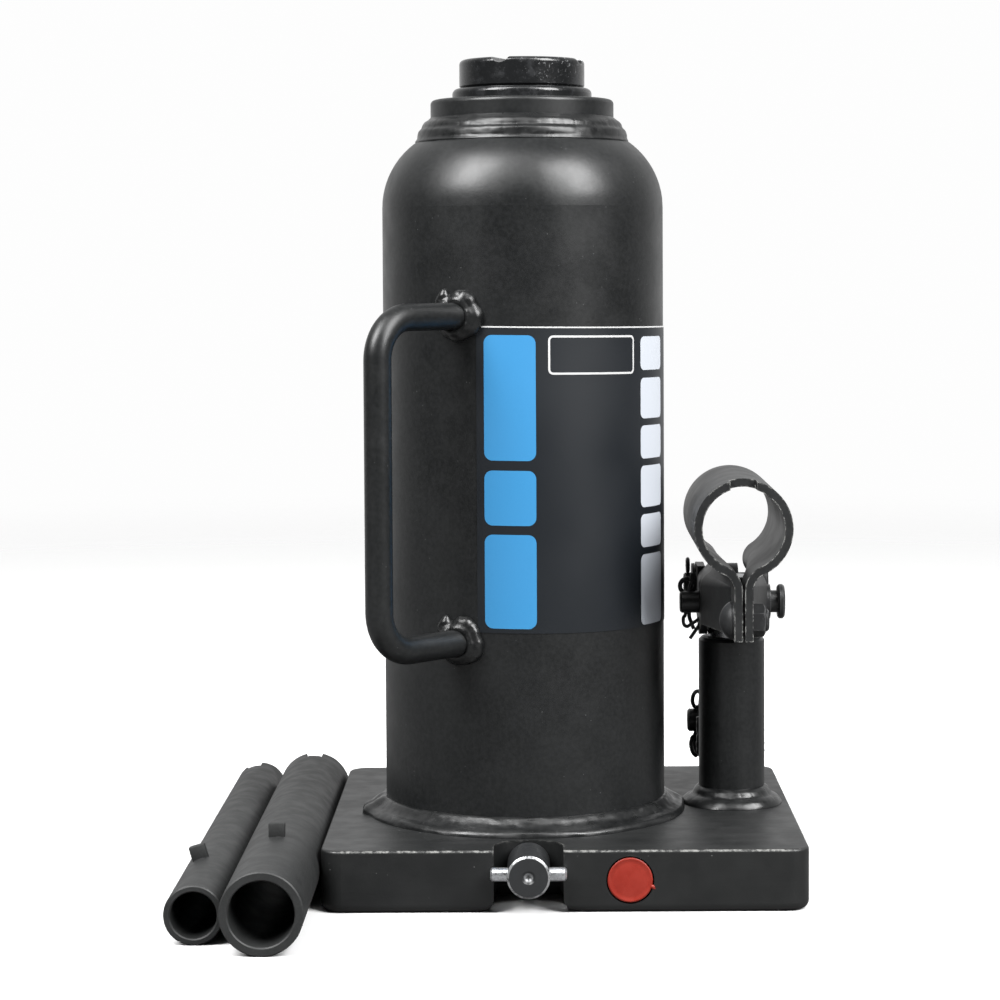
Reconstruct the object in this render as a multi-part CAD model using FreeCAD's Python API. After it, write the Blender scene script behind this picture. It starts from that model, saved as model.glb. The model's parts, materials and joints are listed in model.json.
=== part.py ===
import FreeCAD, Part
import math
import os

# Welded hydraulic bottle jack, 10-tonne class, with its two-piece pump handle beside it.
# Millimetres. X to the right, Y to the back, Z up. The origin is on the tank's axis, at floor level.

os.makedirs("parts", exist_ok=True)

Vector = FreeCAD.Vector
X_AXIS = Vector(1, 0, 0)
Y_AXIS = Vector(0, 1, 0)
Z_AXIS = Vector(0, 0, 1)

# --- clearances ---------------------------------------------------------------------------------
running_gap = 0.05          # radial, between a piston, rod or pin and its bore
slide_gap = 0.1             # radial, a loose running fit
body_gap = 0.3              # between faces of pieces that move past each other
seat_gap = 0.02             # radial, between two round pieces fixed to each other
over = 1.0                  # how far a cutter reaches past the face that it opens

# --- base plate ---------------------------------------------------------------------------------
base_left_margin = 14.2     # from the tank's wall to the plate's edge
base_front_margin = 20.5
base_back_margin = 24.5
base_right_margin = 15.8    # from the pump's axis to the plate's edge
base_thick = 16.2
base_corner_r = 5.5
base_edge_r = 0.8           # round the upper face
base_foot_r = 2.2           # round the lower face

# --- oil tank, top nut and hydraulic cylinder -----------------------------------------------------
tank_r = 38.5
tank_wall = 3.0
shoulder_start = 182.0      # height where the wall turns in
shoulder_r = 22.0
nut_top = 211.5
nut_flange = 8.0            # thickness of the nut's closed top, which guides the ram
nut_skirt_bottom = 191.0
nut_edge = 1.2
top_weld_leg = 3.9          # the two runs between the tank and the nut, out along the shoulder
top_weld_height = 4.7       # and up the nut
tank_weld_leg = 4.2
cylinder_bore_r = 21.0
cylinder_wall = 5.0
cylinder_neck_wall = 2.0    # thread that the top nut screws on
nut_skirt = 2.1             # the nut's wall outside that thread
cylinder_sink = 3.7         # depth of the cylinder's seat in the base
chamber_sink = 7.2          # depth of the oil chamber under the ram
gasket_thick = 1.0
ram_wiper_drop = 5.0        # from the nut's top to the wiper's foot
ram_wiper_height = 3.0

# --- ram and extension screw ----------------------------------------------------------------------
ram_r = 19.1
ram_top = 214.6
ram_lift_off = 0.5          # from the cylinder's seat to the lowered ram
ram_edge_r = 1.5
piston_height = 20.0
seal_low = 5.0              # heights above the ram's lower end
seal_height = 5.0
guide_low = 14.0
guide_height = 3.0
groove_depth = 2.4
screw_r = 13.5
screw_length = 98.0
screw_core_drop = 1.7       # depth of the thread
ram_nut_length = 18.5       # threaded length at the ram's mouth
ram_bore_clear = 1.1        # radial, from the screw to the plain bore below the thread
ram_bore_depth = 103.0
stop_ring_rim = 0.7         # how far the stop ring stands out of the screw
stop_ring_split = 3.0
stop_ring_thick = 1.6
stop_ring_up = 2.0          # from the screw's lower end
saddle_r = 17.15
saddle_height = 7.7
saddle_edge_r = 1.3
saddle_groove_wide = 5.0
saddle_groove_deep = 1.6
saddle_groove_turn = -20.5  # degrees of the first groove from straight ahead
saddle_cup_r = 5.0
saddle_cup_deep = 1.2

# --- carrying handle ------------------------------------------------------------------------------
grip_bar_r = 3.6
grip_low = 66.7
grip_high = 153.0
grip_root_turn = 25.7       # degrees from straight ahead, where the bar meets the tank
grip_lean = 41.2            # degrees of the handle's plane from straight ahead
grip_reach = 30.7           # from the tank's wall to the upright bar
grip_bend_r = 11.0
grip_weld_r = 5.8
grip_weld_length = 5.0

# --- pump -----------------------------------------------------------------------------------------
weld_space = 0.58           # between the tank's bead and the pump's
pump_y = 7.0
pump_wall = 3.1
pump_top = 62.6
pump_sink = 5.7             # depth of the pump cylinder's seat in the base
pocket_sink = 7.2           # depth of the oil pocket under the pump
pocket_r = 6.0
pump_weld_leg = 5.25
pump_weld_height = 5.0
plunger_r = 6.0
plunger_lift_off = 7.5      # from the gasket to the plunger at rest
plunger_head_step = 0.6     # how much wider the plunger's head is
wiper_section = 1.8
plunger_head_up = 7.3       # from pin 1 to the head's top
wiper_height = 3.2
pump_seal_low = 3.0
pump_seal_height = 2.6
pump_seal_depth = 1.5

# --- lever linkage: plunger pin 1, link's upper pin 2 and lower pin 3, lever at rest ---------------
pin1_up = 9.7               # from the pump cylinder's top to pin 1
pin2_up = 3.7               # from pin 1 to pin 2
pin2_back = 16.0            # from the pump's axis to pin 2
pin3_z = 36.2
pin1_r = 3.1
pin2_r = 2.75
pin3_r = 3.25
pin_head_thick = 1.9
pin_chamfer = 0.5
pin1_head_rim = 1.7         # how far the heads stand out from their pins
pin3_head_rim = 1.4
pin1_out_left = 5.3         # how far each pin's end stands out of the ears or lugs
pin1_out_right = 5.6
pin2_out_left = 3.4
pin3_out_left = 3.4
washer_thick = 1.3
thin_washer_thick = 0.8
washer_rim = 1.65
link_washer_rim = 1.3       # how far pin 2's washer covers the ear round its hole
link_play = 1.35            # radial play of pin 2 in the socket's ears
link_thick = 5.6
link_eye_rim = 2.15
link_waist = 8.0
link_space = 1.85           # from the fulcrum bracket's web to the link's eye
lug_web = 1.6
lug_wall = 4.9
lug_space = 0.3             # from the link to each lug
lug_eye_rim = 3.15
lug_root_z = 9.0            # half height of the lugs where they join the pump cylinder
lug_root_drop = 2.0         # how far their root lies below pin 3

# --- handle socket --------------------------------------------------------------------------------
socket_bore_r = 10.8
sheet = 2.2
socket_up = 24.7            # from pin 1 to the socket's axis
socket_front = 41.5
socket_back = 14.0
pinch_back = 28.0           # the flanges are pinched together from the front to here
spread_front = 3.0          # and fully spread from here to the back
pinch_half_gap = 0.3
neck_step = 3.3             # how far the ears stand out beyond the neck
pinched_neck_r = 6.0        # radii of the sheet's middle where the neck turns in and out
spread_neck_r = 4.0
flare_r = 3.0
flange_drop = 5.0           # from pin 1 to the flanges' foot
ear_front_r = 9.0
ear_back_rim = 1.7          # width of the ears round pin 2's hole
notch_wide = 7.0
notch_deep = 5.0
clamp_bolt_y = -35.0
clamp_bolt_r = 3.0
bolt_head_r = 5.0
bolt_head_thick = 3.6
nut_flats = 7.7
nut_thick = 3.5
bolt_end_out = 1.0          # how far the bolt's end stands out of its nut

# --- split pins -----------------------------------------------------------------------------------
split_pin_r = 1.0
split_leg_r = 0.55
split_eye_r = 1.9
split_leg_length = 5.5
split_spread = 1.6          # how far each leg is bent out
split_clear = 0.4           # from the pin to the eye's foot, and to where the legs part
split_pin_margin = 1.2      # from the pin's end to the split pin's near side

# --- release valve --------------------------------------------------------------------------------
valve_x = 1.0
valve_z = 10.6
recess_wide = 18.0
recess_deep = 13.0
recess_corner_r = 7.0
channel_wide = 15.6         # across the channel's flat top
channel_high = 4.7
channel_deep = 22.0
channel_turn_r = 1.2        # where its flanks turn into the top and the lips
lip_wide = 20.4             # across the foot of the flanks
lip_high = 1.0
lip_reach = 8.6             # from each flank to where the lip dies out in the floor
knob_out = 7.0              # how far the knob stands out in front of the base
knob_fit = 0.25             # radial, in the small tube's end
knob_length = 18.5
knob_edge = 0.6
knob_dimple_r = 1.75
knob_neck_chamfer = 1.0
spindle_r = 3.5
spindle_tip_chamfer = 1.4
o_ring_back = 5.0           # from the recess to the O-ring
o_ring_section_r = 1.0
o_ring_depth = 1.5
o_ring_side_gap = 0.3
cross_pin_r = 1.8
cross_pin_length = 19.6
cross_pin_out = 2.5         # from the base's front to the cross pin
release_ball_r = 2.4
release_seat_back = 2.75    # from the drain to the ball's seat
small_drill_r = 1.3
chamber_reach = 3.5         # how far a drilling runs into the ram's chamber

# --- relief valve ---------------------------------------------------------------------------------
relief_x = 27.1
relief_z = 8.4
relief_cap_r = 5.85
relief_cap_thick = 1.6
relief_cap_rim = 0.35
relief_cap_sink = 0.4
relief_bore_r = 3.2
relief_bore_depth = 23.0
relief_way_turn = 46.0      # degrees from straight ahead where its pressure way meets the chamber
relief_drain_turn = 42.0
relief_ball_r = 1.9
relief_spring_clear = 0.3
relief_spring_length = 9.0
relief_screw_length = 6.0
relief_slot_wide = 1.0
relief_slot_deep = 1.5

# --- pump valves ----------------------------------------------------------------------------------
suction_level = 3.0         # height of the intake drilling
suction_ball_r = 1.9
suction_cage_depth = 3.8
suction_cage_r = 2.2
gallery_sink = 6.5          # depth of the pressure drillings in the base
gallery_turn = 118.0        # degrees from straight ahead where the gallery meets the chamber
gallery_back = 6.0          # from the delivery valve's seat to the gallery
delivery_seat_y = 24.0
delivery_ball_r = 2.4
delivery_bore_r = 3.2
delivery_spring_clear = 0.2
delivery_spring_length = 14.0
delivery_plug_inset = 0.5
delivery_key_flats = 3.0
delivery_key_depth = 2.5
side_plug_length = 6.0
side_plug_inset = 0.8
spring_seat_rise = 0.7      # share of a ball's radius where its spring bears on it
spring_wire_r = 0.4
spring_coils = 6
strainer_height = 3.0
strainer_wall = 0.6
strainer_clear = 0.7        # from the walls of the oil space

# --- filler plug and label ------------------------------------------------------------------------
filler_z = 158.0
filler_hole_r = 4.5
filler_head_r = 6.2
filler_head_thick = 2.4
filler_depth = 5.0
label_low = 68.4
label_high = 150.5
label_start = -18.4         # degrees from straight ahead, towards +X
label_sweep = 149.0
label_thick = 0.16

# --- handle tubes lying beside the base -----------------------------------------------------------
socket_fit = 0.45           # radial, of the big tube in the socket
big_tube_wall = 2.2
big_tube_front = -104.0
big_tube_length = 167.0
tube_fit = 0.75             # radial, of the small tube in the big one
small_tube_wall = 1.6
small_tube_front = -92.0
small_tube_length = 172.0
tab_fit = 0.6               # how much narrower a tab is than the notch that it locks in
tab_long = 2.4
tab_high = 3.5
big_tab_back = 42.0         # from the tube's front end
small_tab_back = 33.0
small_tab_lean = 17.0       # degrees that the small tube is rolled to the left
cross_pin_fit = 1.2         # how much wider the notch is than the cross pin
tube_notch_deep = 5.0

# --- sizes that follow from the ones above --------------------------------------------------------
base_top = base_thick
cylinder_r = cylinder_bore_r + cylinder_wall
cylinder_neck_r = cylinder_bore_r + cylinder_neck_wall
nut_r = cylinder_neck_r + nut_skirt
cylinder_seat = base_top - cylinder_sink
chamber_floor = base_top - chamber_sink
tank_inner_r = tank_r - tank_wall
oil_ring_r = (cylinder_r + tank_inner_r) / 2

ram_bottom = cylinder_seat + ram_lift_off
ram_bore_r = screw_r + ram_bore_clear
ram_bore_bottom = ram_top - ram_bore_depth
stop_ring_r = screw_r + stop_ring_rim
screw_bottom = ram_top - screw_length
saddle_bottom = ram_top + body_gap / 2

pump_r = plunger_r + running_gap + pump_wall
pump_weld_r = pump_r + pump_weld_leg
pump_x = tank_r + seat_gap + tank_weld_leg + weld_space + pump_weld_r
pump_seat = base_top - pump_sink
pocket_floor = base_top - pocket_sink
plunger_bottom = pump_seat + gasket_thick + plunger_lift_off
plunger_head_r = plunger_r + plunger_head_step
wiper_r = plunger_r + wiper_section

base_left = tank_r + base_left_margin
base_front = tank_r + base_front_margin
base_back = tank_r + base_back_margin
base_right = pump_x + base_right_margin

pin1_z = pump_top + pin1_up
pin2_y = pump_y + pin2_back
pin2_z = pin1_z + pin2_up
link_eye_r = pin3_r + link_eye_rim
pin3_y = pump_y + pump_r + lug_web + link_space + link_eye_r
plunger_head_top = pin1_z + plunger_head_up
pin1_head_r = pin1_r + pin1_head_rim
pin3_head_r = pin3_r + pin3_head_rim
washer_r = pin1_r + washer_rim
link_washer_r = pin2_r + link_play + link_washer_rim
lug_inner = link_thick / 2 + lug_space
lug_outer = lug_inner + lug_wall
lug_eye_r = pin3_r + lug_eye_rim

socket_r = socket_bore_r + sheet
socket_z = pin1_z + socket_up
flange_bottom = pin1_z - flange_drop
ear_half_gap = plunger_head_r + body_gap
neck_half_gap = ear_half_gap - neck_step
ear_outer = ear_half_gap + sheet
ear_back_r = pin2_r + link_play + ear_back_rim
pin1_left = pump_x - ear_outer - pin1_out_left
pin1_right = pump_x + ear_outer + pin1_out_right
pin2_left = pump_x - ear_outer - pin2_out_left
pin3_left = pump_x - lug_outer - pin3_out_left

big_tube_r = socket_bore_r - socket_fit
big_tube_x = -(base_left + body_gap + big_tube_r)
small_tube_r = big_tube_r - big_tube_wall - tube_fit
tube_step = big_tube_r + small_tube_r + body_gap
small_tube_x = big_tube_x - math.sqrt(tube_step ** 2 - (big_tube_r - small_tube_r) ** 2)
tube_notch_wide = 2 * cross_pin_r + cross_pin_fit
tab_wide = tube_notch_wide - tab_fit

knob_r = small_tube_r - small_tube_wall - knob_fit
knob_face = base_front + knob_out
cross_pin_y = -base_front - cross_pin_out
o_ring_y = recess_deep + o_ring_back - base_front
o_ring_groove_r = spindle_r - o_ring_depth
drain_y = -oil_ring_r
release_seat_y = drain_y + release_seat_back
relief_seat_y = relief_bore_depth - base_front
suction_seat_z = pocket_floor - suction_cage_depth
suction_port_x = math.sqrt(oil_ring_r ** 2 - pump_y ** 2)
strainer_r = (tank_inner_r - cylinder_r) / 2 - strainer_clear
gallery_z = base_top - gallery_sink


# --- building blocks ------------------------------------------------------------------------------
def save(node, shape):
    shape.exportStep("parts/" + node + ".step")


def rod(radius, start, end):
    """A round bar between two points."""
    a = Vector(*start)
    b = Vector(*end)
    return Part.makeCylinder(radius, (b - a).Length, a, b - a)


def ring(outer, inner, start, end):
    """A tube between two points."""
    a = Vector(*start)
    b = Vector(*end)
    reach = (b - a).normalize()
    return rod(outer, a, b).cut(rod(inner, a - reach, b + reach))


def box(x0, x1, y0, y1, z0, z1):
    return Part.makeBox(x1 - x0, y1 - y0, z1 - z0, Vector(x0, y0, z0))


def outline(start, *steps):
    """A closed wire in (radius, height). A step is a point, or a (through, end) pair for an arc."""
    here = Vector(start[0], 0, start[1])
    first = here
    edges = []
    for step in steps:
        if isinstance(step[0], tuple):
            through = Vector(step[0][0], 0, step[0][1])
            end = Vector(step[1][0], 0, step[1][1])
            edges.append(Part.Arc(here, through, end).toShape())
        else:
            end = Vector(step[0], 0, step[1])
            edges.append(Part.makeLine(here, end))
        here = end
    if (here - first).Length > 1e-7:
        edges.append(Part.makeLine(here, first))
    return Part.Wire(edges)


def turned(start, *steps):
    """A solid of revolution about Z, from its outline."""
    return Part.Face(outline(start, *steps)).revolve(Vector(0, 0, 0), Z_AXIS, 360)


def along(shape, direction, origin):
    """Stands a shape made about Z along another direction, at another origin."""
    placed = shape.copy()
    turn = FreeCAD.Rotation(Z_AXIS, Vector(*direction))
    placed.Placement = FreeCAD.Placement(Vector(*origin), turn)
    return placed


def corner_arc(radius):
    """How far a quarter round's middle lies from its corner, along each side."""
    return radius * (1 - math.sqrt(0.5))


def tangent_hull(first, first_r, second, second_r, x0, x1):
    """A plate in the YZ plane, between x0 and x1, round two circles and their outer tangents."""
    a = Vector(0, *first)
    b = Vector(0, *second)
    reach = b - a
    heading = math.atan2(reach.z, reach.y)
    spread = math.acos((first_r - second_r) / reach.Length)
    points = []
    for centre, radius, side in ((a, first_r, 1), (b, second_r, 1), (b, second_r, -1), (a, first_r, -1)):
        turn = heading + side * spread
        points.append(centre + Vector(0, math.cos(turn), math.sin(turn)) * radius)
    far = b + Vector(0, math.cos(heading), math.sin(heading)) * second_r
    near = a - Vector(0, math.cos(heading), math.sin(heading)) * first_r
    wire = Part.Wire([
        Part.makeLine(points[0], points[1]),
        Part.Arc(points[1], far, points[2]).toShape(),
        Part.makeLine(points[2], points[3]),
        Part.Arc(points[3], near, points[0]).toShape(),
    ])
    wire.translate(X_AXIS * x0)
    return Part.Face(wire).extrude(X_AXIS * (x1 - x0))


def hexagon(flats, thick):
    """A hexagonal prism about Z."""
    corner = flats / math.sqrt(3)
    turns = [math.radians(60 * i) for i in range(6)]
    corners = [Vector(corner * math.cos(t), corner * math.sin(t), 0) for t in turns]
    return Part.Face(Part.makePolygon(corners + corners[:1])).extrude(Z_AXIS * thick)


def on_circle(radius, degrees):
    """A point at a turn from straight ahead (-Y) towards +X."""
    turn = math.radians(degrees)
    return (radius * math.sin(turn), -radius * math.cos(turn))


def spring(radius, length, start, direction):
    """A compression spring along a direction, with its ends where a seat would touch it."""
    pitch = (length - 2 * spring_wire_r) / spring_coils
    helix = Part.makeHelix(pitch, pitch * spring_coils, radius - spring_wire_r)
    wire = Part.Wire(Part.makeCircle(spring_wire_r, Vector(radius - spring_wire_r, 0, 0), Y_AXIS))
    coil = Part.Wire(helix.Edges).makePipeShell([wire], True, True)
    coil.translate(Z_AXIS * spring_wire_r)
    return along(coil, direction, start)


def split_pin(x, y, z, pin_radius, turn=0):
    """A split pin driven down through a pin that lies along X: an eye on top and two spread legs.

    At turn 0 its legs spread along X, and at turn 90 along Y.
    """
    eye_z = z + pin_radius + split_eye_r + split_leg_r + split_clear
    foot_z = z - pin_radius - split_clear
    body = Part.makeTorus(split_eye_r, split_leg_r, Vector(x, y, eye_z), Y_AXIS)
    body = body.fuse(rod(split_pin_r - seat_gap, (x, y, foot_z), (x, y, eye_z - split_eye_r)))
    for side in (-1, 1):
        hip = (x + side * split_leg_r * 0.6, y, foot_z + split_leg_r / 2)
        foot = (x + side * (split_leg_r + split_spread), y, foot_z - split_leg_length + side * split_leg_r)
        body = body.fuse(rod(split_leg_r, hip, foot))
        body = body.fuse(Part.makeSphere(split_leg_r, Vector(*hip)))
    body = body.removeSplitter()
    body.rotate(Vector(x, y, z), Z_AXIS, turn)
    return body


def cross_hole(x, y, z, pin_radius):
    """The hole that a split pin goes through."""
    return rod(split_pin_r, (x, y, z - pin_radius - over), (x, y, z + pin_radius + over))


# --- base plate -----------------------------------------------------------------------------------
def rounded_block():
    block = box(-base_left, base_right, -base_front, base_back, 0, base_thick)
    upright = [e for e in block.Edges if abs(e.tangentAt(e.FirstParameter).z) > 0.99]
    block = block.makeFillet(base_corner_r, upright)
    upper = [e for e in block.Edges if e.BoundBox.ZMin > base_thick / 2]
    block = block.makeFillet(base_edge_r, upper)
    lower = [e for e in block.Edges if e.BoundBox.ZMax < base_thick / 2]
    return block.makeFillet(base_foot_r, lower)


def release_recess():
    """The pocket round the knob, and the channel under it, whose lips run out along the floor."""
    front = -base_front - over
    back = recess_deep - base_front
    pocket = box(valve_x - recess_wide / 2, valve_x + recess_wide / 2, front, back, -over, base_thick + over)
    inner = [e for e in pocket.Edges if e.BoundBox.ZLength > over and e.BoundBox.YMin > back - 0.01]
    pocket = pocket.makeFillet(recess_corner_r, inner)
    top = channel_wide / 2
    flank = lip_wide / 2
    end = flank + lip_reach
    lip_r = (lip_reach ** 2 + lip_high ** 2) / (2 * lip_high)
    half_turn = math.atan2(lip_high, lip_reach)
    lip_middle = (end - lip_r * math.sin(half_turn), lip_r * (1 - math.cos(half_turn)))
    right = [(end, 0), lip_middle, (flank, lip_high), (top, channel_high)]
    points = [Vector(valve_x + x, front, z) for x, z in right]
    mirrored = [Vector(valve_x - x, front, z) for x, z in right]
    under = Z_AXIS * over
    edges = [
        Part.Arc(points[0], points[1], points[2]).toShape(),
        Part.makeLine(points[2], points[3]),
        Part.makeLine(points[3], mirrored[3]),
        Part.makeLine(mirrored[3], mirrored[2]),
        Part.Arc(mirrored[2], mirrored[1], mirrored[0]).toShape(),
        Part.makeLine(mirrored[0], mirrored[0] - under),
        Part.makeLine(mirrored[0] - under, points[0] - under),
        Part.makeLine(points[0] - under, points[0]),
    ]
    channel = Part.Face(Part.Wire(edges)).extrude(Y_AXIS * (channel_deep + over))
    turns = [e for e in channel.Edges if e.BoundBox.YLength > over and e.BoundBox.ZMin > lip_high / 2]
    return pocket.fuse(channel.makeFillet(channel_turn_r, turns))


def base_drillings():
    """The oil ways and valve bores inside the base."""
    pump = (pump_x, pump_y)
    ways = [
        # seats of the two cylinders, and the chamber under each
        rod(cylinder_r + seat_gap, (0, 0, cylinder_seat), (0, 0, base_top + over)),
        rod(cylinder_bore_r, (0, 0, chamber_floor), (0, 0, cylinder_seat + over)),
        rod(pump_r + seat_gap, (*pump, pump_seat), (*pump, base_top + over)),
        rod(pocket_r, (*pump, pocket_floor), (*pump, pump_seat + over)),
        # suction: ball cage and seat under the pump, intake drilling, port up into the tank
        rod(suction_cage_r, (*pump, suction_seat_z), (*pump, pocket_floor + over)),
        rod(small_drill_r, (*pump, suction_level), (*pump, suction_seat_z + over)),
        rod(small_drill_r, (suction_port_x, pump_y, suction_level),
            (base_right + over, pump_y, suction_level)),
        rod(small_drill_r, (suction_port_x, pump_y, suction_level),
            (suction_port_x, pump_y, base_top + over)),
        # delivery: valve bore from the back, seat, gallery across to the ram's chamber
        rod(delivery_bore_r, (pump_x, delivery_seat_y, gallery_z), (pump_x, base_back + over, gallery_z)),
        rod(small_drill_r, (pump_x, pump_y + pocket_r / 2, gallery_z),
            (pump_x, delivery_seat_y + over, gallery_z)),
        gallery(),
        # release: bore with its thread and seat, drain up into the tank
        rod(spindle_r + running_gap, (valve_x, release_seat_y, valve_z), (valve_x, -base_front, valve_z)),
        rod(small_drill_r, (valve_x, release_seat_y - over, valve_z),
            (valve_x, chamber_reach - cylinder_bore_r, valve_z)),
        rod(small_drill_r, (valve_x, drain_y, valve_z), (valve_x, drain_y, base_top + over)),
        # relief: bore from the front, seat, pressure way, drain up into the tank
        rod(relief_cap_r + relief_cap_rim, (relief_x, -base_front - over, relief_z),
            (relief_x, relief_cap_thick + relief_cap_sink - base_front, relief_z)),
        rod(relief_bore_r, (relief_x, -base_front, relief_z), (relief_x, relief_seat_y, relief_z)),
        rod(small_drill_r, (relief_x, relief_seat_y - over, relief_z),
            (relief_x, relief_seat_y + chamber_reach, relief_z)),
        rod(small_drill_r, (relief_x, relief_seat_y + chamber_reach - small_drill_r, gallery_z),
            (*on_circle(cylinder_bore_r - chamber_reach, relief_way_turn), gallery_z)),
        rod(small_drill_r, (relief_x, relief_seat_y - relief_bore_r, relief_z),
            (*on_circle(oil_ring_r, relief_drain_turn), base_top + over)),
    ]
    body = ways[0]
    for way in ways[1:]:
        body = body.fuse(way)
    return body


def gallery_line():
    """The slanted pressure drilling: from the ram's chamber past the delivery valve to the right side."""
    inner = Vector(*on_circle(cylinder_bore_r - chamber_reach, gallery_turn), gallery_z)
    valve = Vector(pump_x, delivery_seat_y + gallery_back, gallery_z)
    reach = valve - inner
    outer = inner + reach * ((base_right + over - inner.x) / reach.x)
    return inner, outer


def gallery():
    inner, outer = gallery_line()
    return rod(small_drill_r, inner, outer)


def make_base():
    return rounded_block().cut(release_recess()).cut(base_drillings())


def side_plugs():
    """Two pressed plugs that close the intake drilling and the gallery at the right side."""
    intake_end = Vector(base_right - side_plug_inset, pump_y, suction_level)
    intake = rod(small_drill_r - seat_gap, intake_end - X_AXIS * side_plug_length, intake_end)
    inner, outer = gallery_line()
    reach = (outer - inner).normalize()
    end = outer - reach * ((over + side_plug_inset) / reach.x)
    return Part.makeCompound([intake, rod(small_drill_r - seat_gap, end - reach * side_plug_length, end)])


# --- tank, cylinder and top nut -------------------------------------------------------------------
def shoulder_point(radius, offset=0.0):
    """A point on the tank's rounded shoulder at a radius; offset is a depth below its outside."""
    centre_r = tank_r - shoulder_r
    arc_r = shoulder_r - offset
    return (radius, shoulder_start + math.sqrt(arc_r ** 2 - (radius - centre_r) ** 2))


def make_tank():
    mouth = nut_r + seat_gap
    wall = turned(
        (tank_r, base_top), (tank_r, shoulder_start),
        (shoulder_point((tank_r + mouth) / 2), shoulder_point(mouth)),
        shoulder_point(mouth, tank_wall),
        (shoulder_point((tank_inner_r + mouth) / 2, tank_wall), (tank_inner_r, shoulder_start)),
        (tank_inner_r, base_top))
    hole = rod(filler_hole_r + seat_gap, (0, tank_inner_r - over, filler_z), (0, tank_r + over, filler_z))
    return wall.cut(hole)


def make_tank_weld():
    leg = tank_weld_leg
    inner = tank_r + seat_gap
    bulge = (inner + leg * 0.52, base_top + leg * 0.52)
    return turned((inner, base_top), (inner + leg, base_top), (bulge, (inner, base_top + leg)))


def make_top_weld():
    """Two overlapping runs of weld between the tank's shoulder and the nut."""
    inner = nut_r + seat_gap
    corner = shoulder_point(inner, -seat_gap)
    middle = shoulder_point(nut_r + top_weld_leg / 2, -seat_gap)
    foot = shoulder_point(nut_r + top_weld_leg, -seat_gap)
    top = corner[1] + top_weld_height
    rise = top - foot[1]
    lower_bulge = (nut_r + top_weld_leg * 1.03, foot[1] + rise * 0.24)
    waist = (nut_r + top_weld_leg * 0.59, foot[1] + rise * 0.47)
    upper_bulge = (nut_r + top_weld_leg * 0.62, foot[1] + rise * 0.75)
    return turned(corner, (middle, foot), (lower_bulge, waist), (upper_bulge, (inner, top)))


def make_top_nut():
    flange_bottom_z = nut_top - nut_flange
    drop = corner_arc(nut_edge)
    body = turned(
        (cylinder_neck_r + seat_gap, nut_skirt_bottom), (nut_r, nut_skirt_bottom),
        (nut_r, nut_top - nut_edge), ((nut_r - drop, nut_top - drop), (nut_r - nut_edge, nut_top)),
        (ram_r + slide_gap, nut_top), (ram_r + slide_gap, flange_bottom_z),
        (cylinder_neck_r + seat_gap, flange_bottom_z))
    low = nut_top - ram_wiper_drop
    groove = ring(wiper_groove_r(), ram_r, (0, 0, low), (0, 0, low + ram_wiper_height))
    return body.cut(groove)


def wiper_groove_r():
    return ram_r + groove_depth


def make_ram_wiper():
    outer = wiper_groove_r() - seat_gap
    low = nut_top - ram_wiper_drop + seat_gap
    high = low + ram_wiper_height - 2 * seat_gap
    return ring(outer, ram_r + running_gap, (0, 0, low), (0, 0, high))


def make_ram_cylinder():
    seat = cylinder_seat + gasket_thick
    top = nut_top - nut_flange
    neck = nut_skirt_bottom - body_gap
    return turned(
        (cylinder_bore_r, seat), (cylinder_r, seat), (cylinder_r, neck),
        (cylinder_neck_r, neck), (cylinder_neck_r, top), (cylinder_bore_r, top))


# --- ram, extension screw and saddle --------------------------------------------------------------
def make_ram():
    drop = corner_arc(ram_edge_r)
    piston_r = cylinder_bore_r - running_gap
    shape = turned(
        (0, ram_bottom), (piston_r, ram_bottom), (piston_r, ram_bottom + piston_height),
        (ram_r, ram_bottom + piston_height), (ram_r, ram_top - ram_edge_r),
        ((ram_r - drop, ram_top - drop), (ram_r - ram_edge_r, ram_top)),
        (screw_r + slide_gap, ram_top), (screw_r + slide_gap, ram_top - ram_nut_length),
        (ram_bore_r, ram_top - ram_nut_length), (ram_bore_r, ram_bore_bottom), (0, ram_bore_bottom))
    return shape.cut(piston_groove(seal_low, seal_height)).cut(piston_groove(guide_low, guide_height))


def piston_groove(low, height, inset=0.0):
    inner = cylinder_bore_r - groove_depth
    outer = cylinder_bore_r - inset
    low_z = ram_bottom + low + inset
    return ring(outer, inner + inset, (0, 0, low_z), (0, 0, low_z + height - 2 * inset))


def make_extension_screw():
    """The screw at its thread's crest; its lower end has a groove for the stop ring."""
    point = 1.5
    low = screw_bottom + stop_ring_up
    core = screw_r - screw_core_drop
    return turned(
        (0, screw_bottom), (screw_r - point, screw_bottom), (screw_r, screw_bottom + point),
        (screw_r, low), (core, low), (core, low + stop_ring_thick + 2 * body_gap),
        (screw_r, low + stop_ring_thick + 2 * body_gap), (screw_r, saddle_bottom), (0, saddle_bottom))


def make_stop_ring():
    """A split ring in the screw's lowest groove, which can't pass the ram's thread."""
    low = screw_bottom + stop_ring_up + body_gap
    core = screw_r - screw_core_drop
    hoop = ring(stop_ring_r, core + slide_gap, (0, 0, low), (0, 0, low + stop_ring_thick))
    half = stop_ring_split / 2
    return hoop.cut(box(-half, half, 0, stop_ring_r + over, low - over, low + stop_ring_thick + over))


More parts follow.
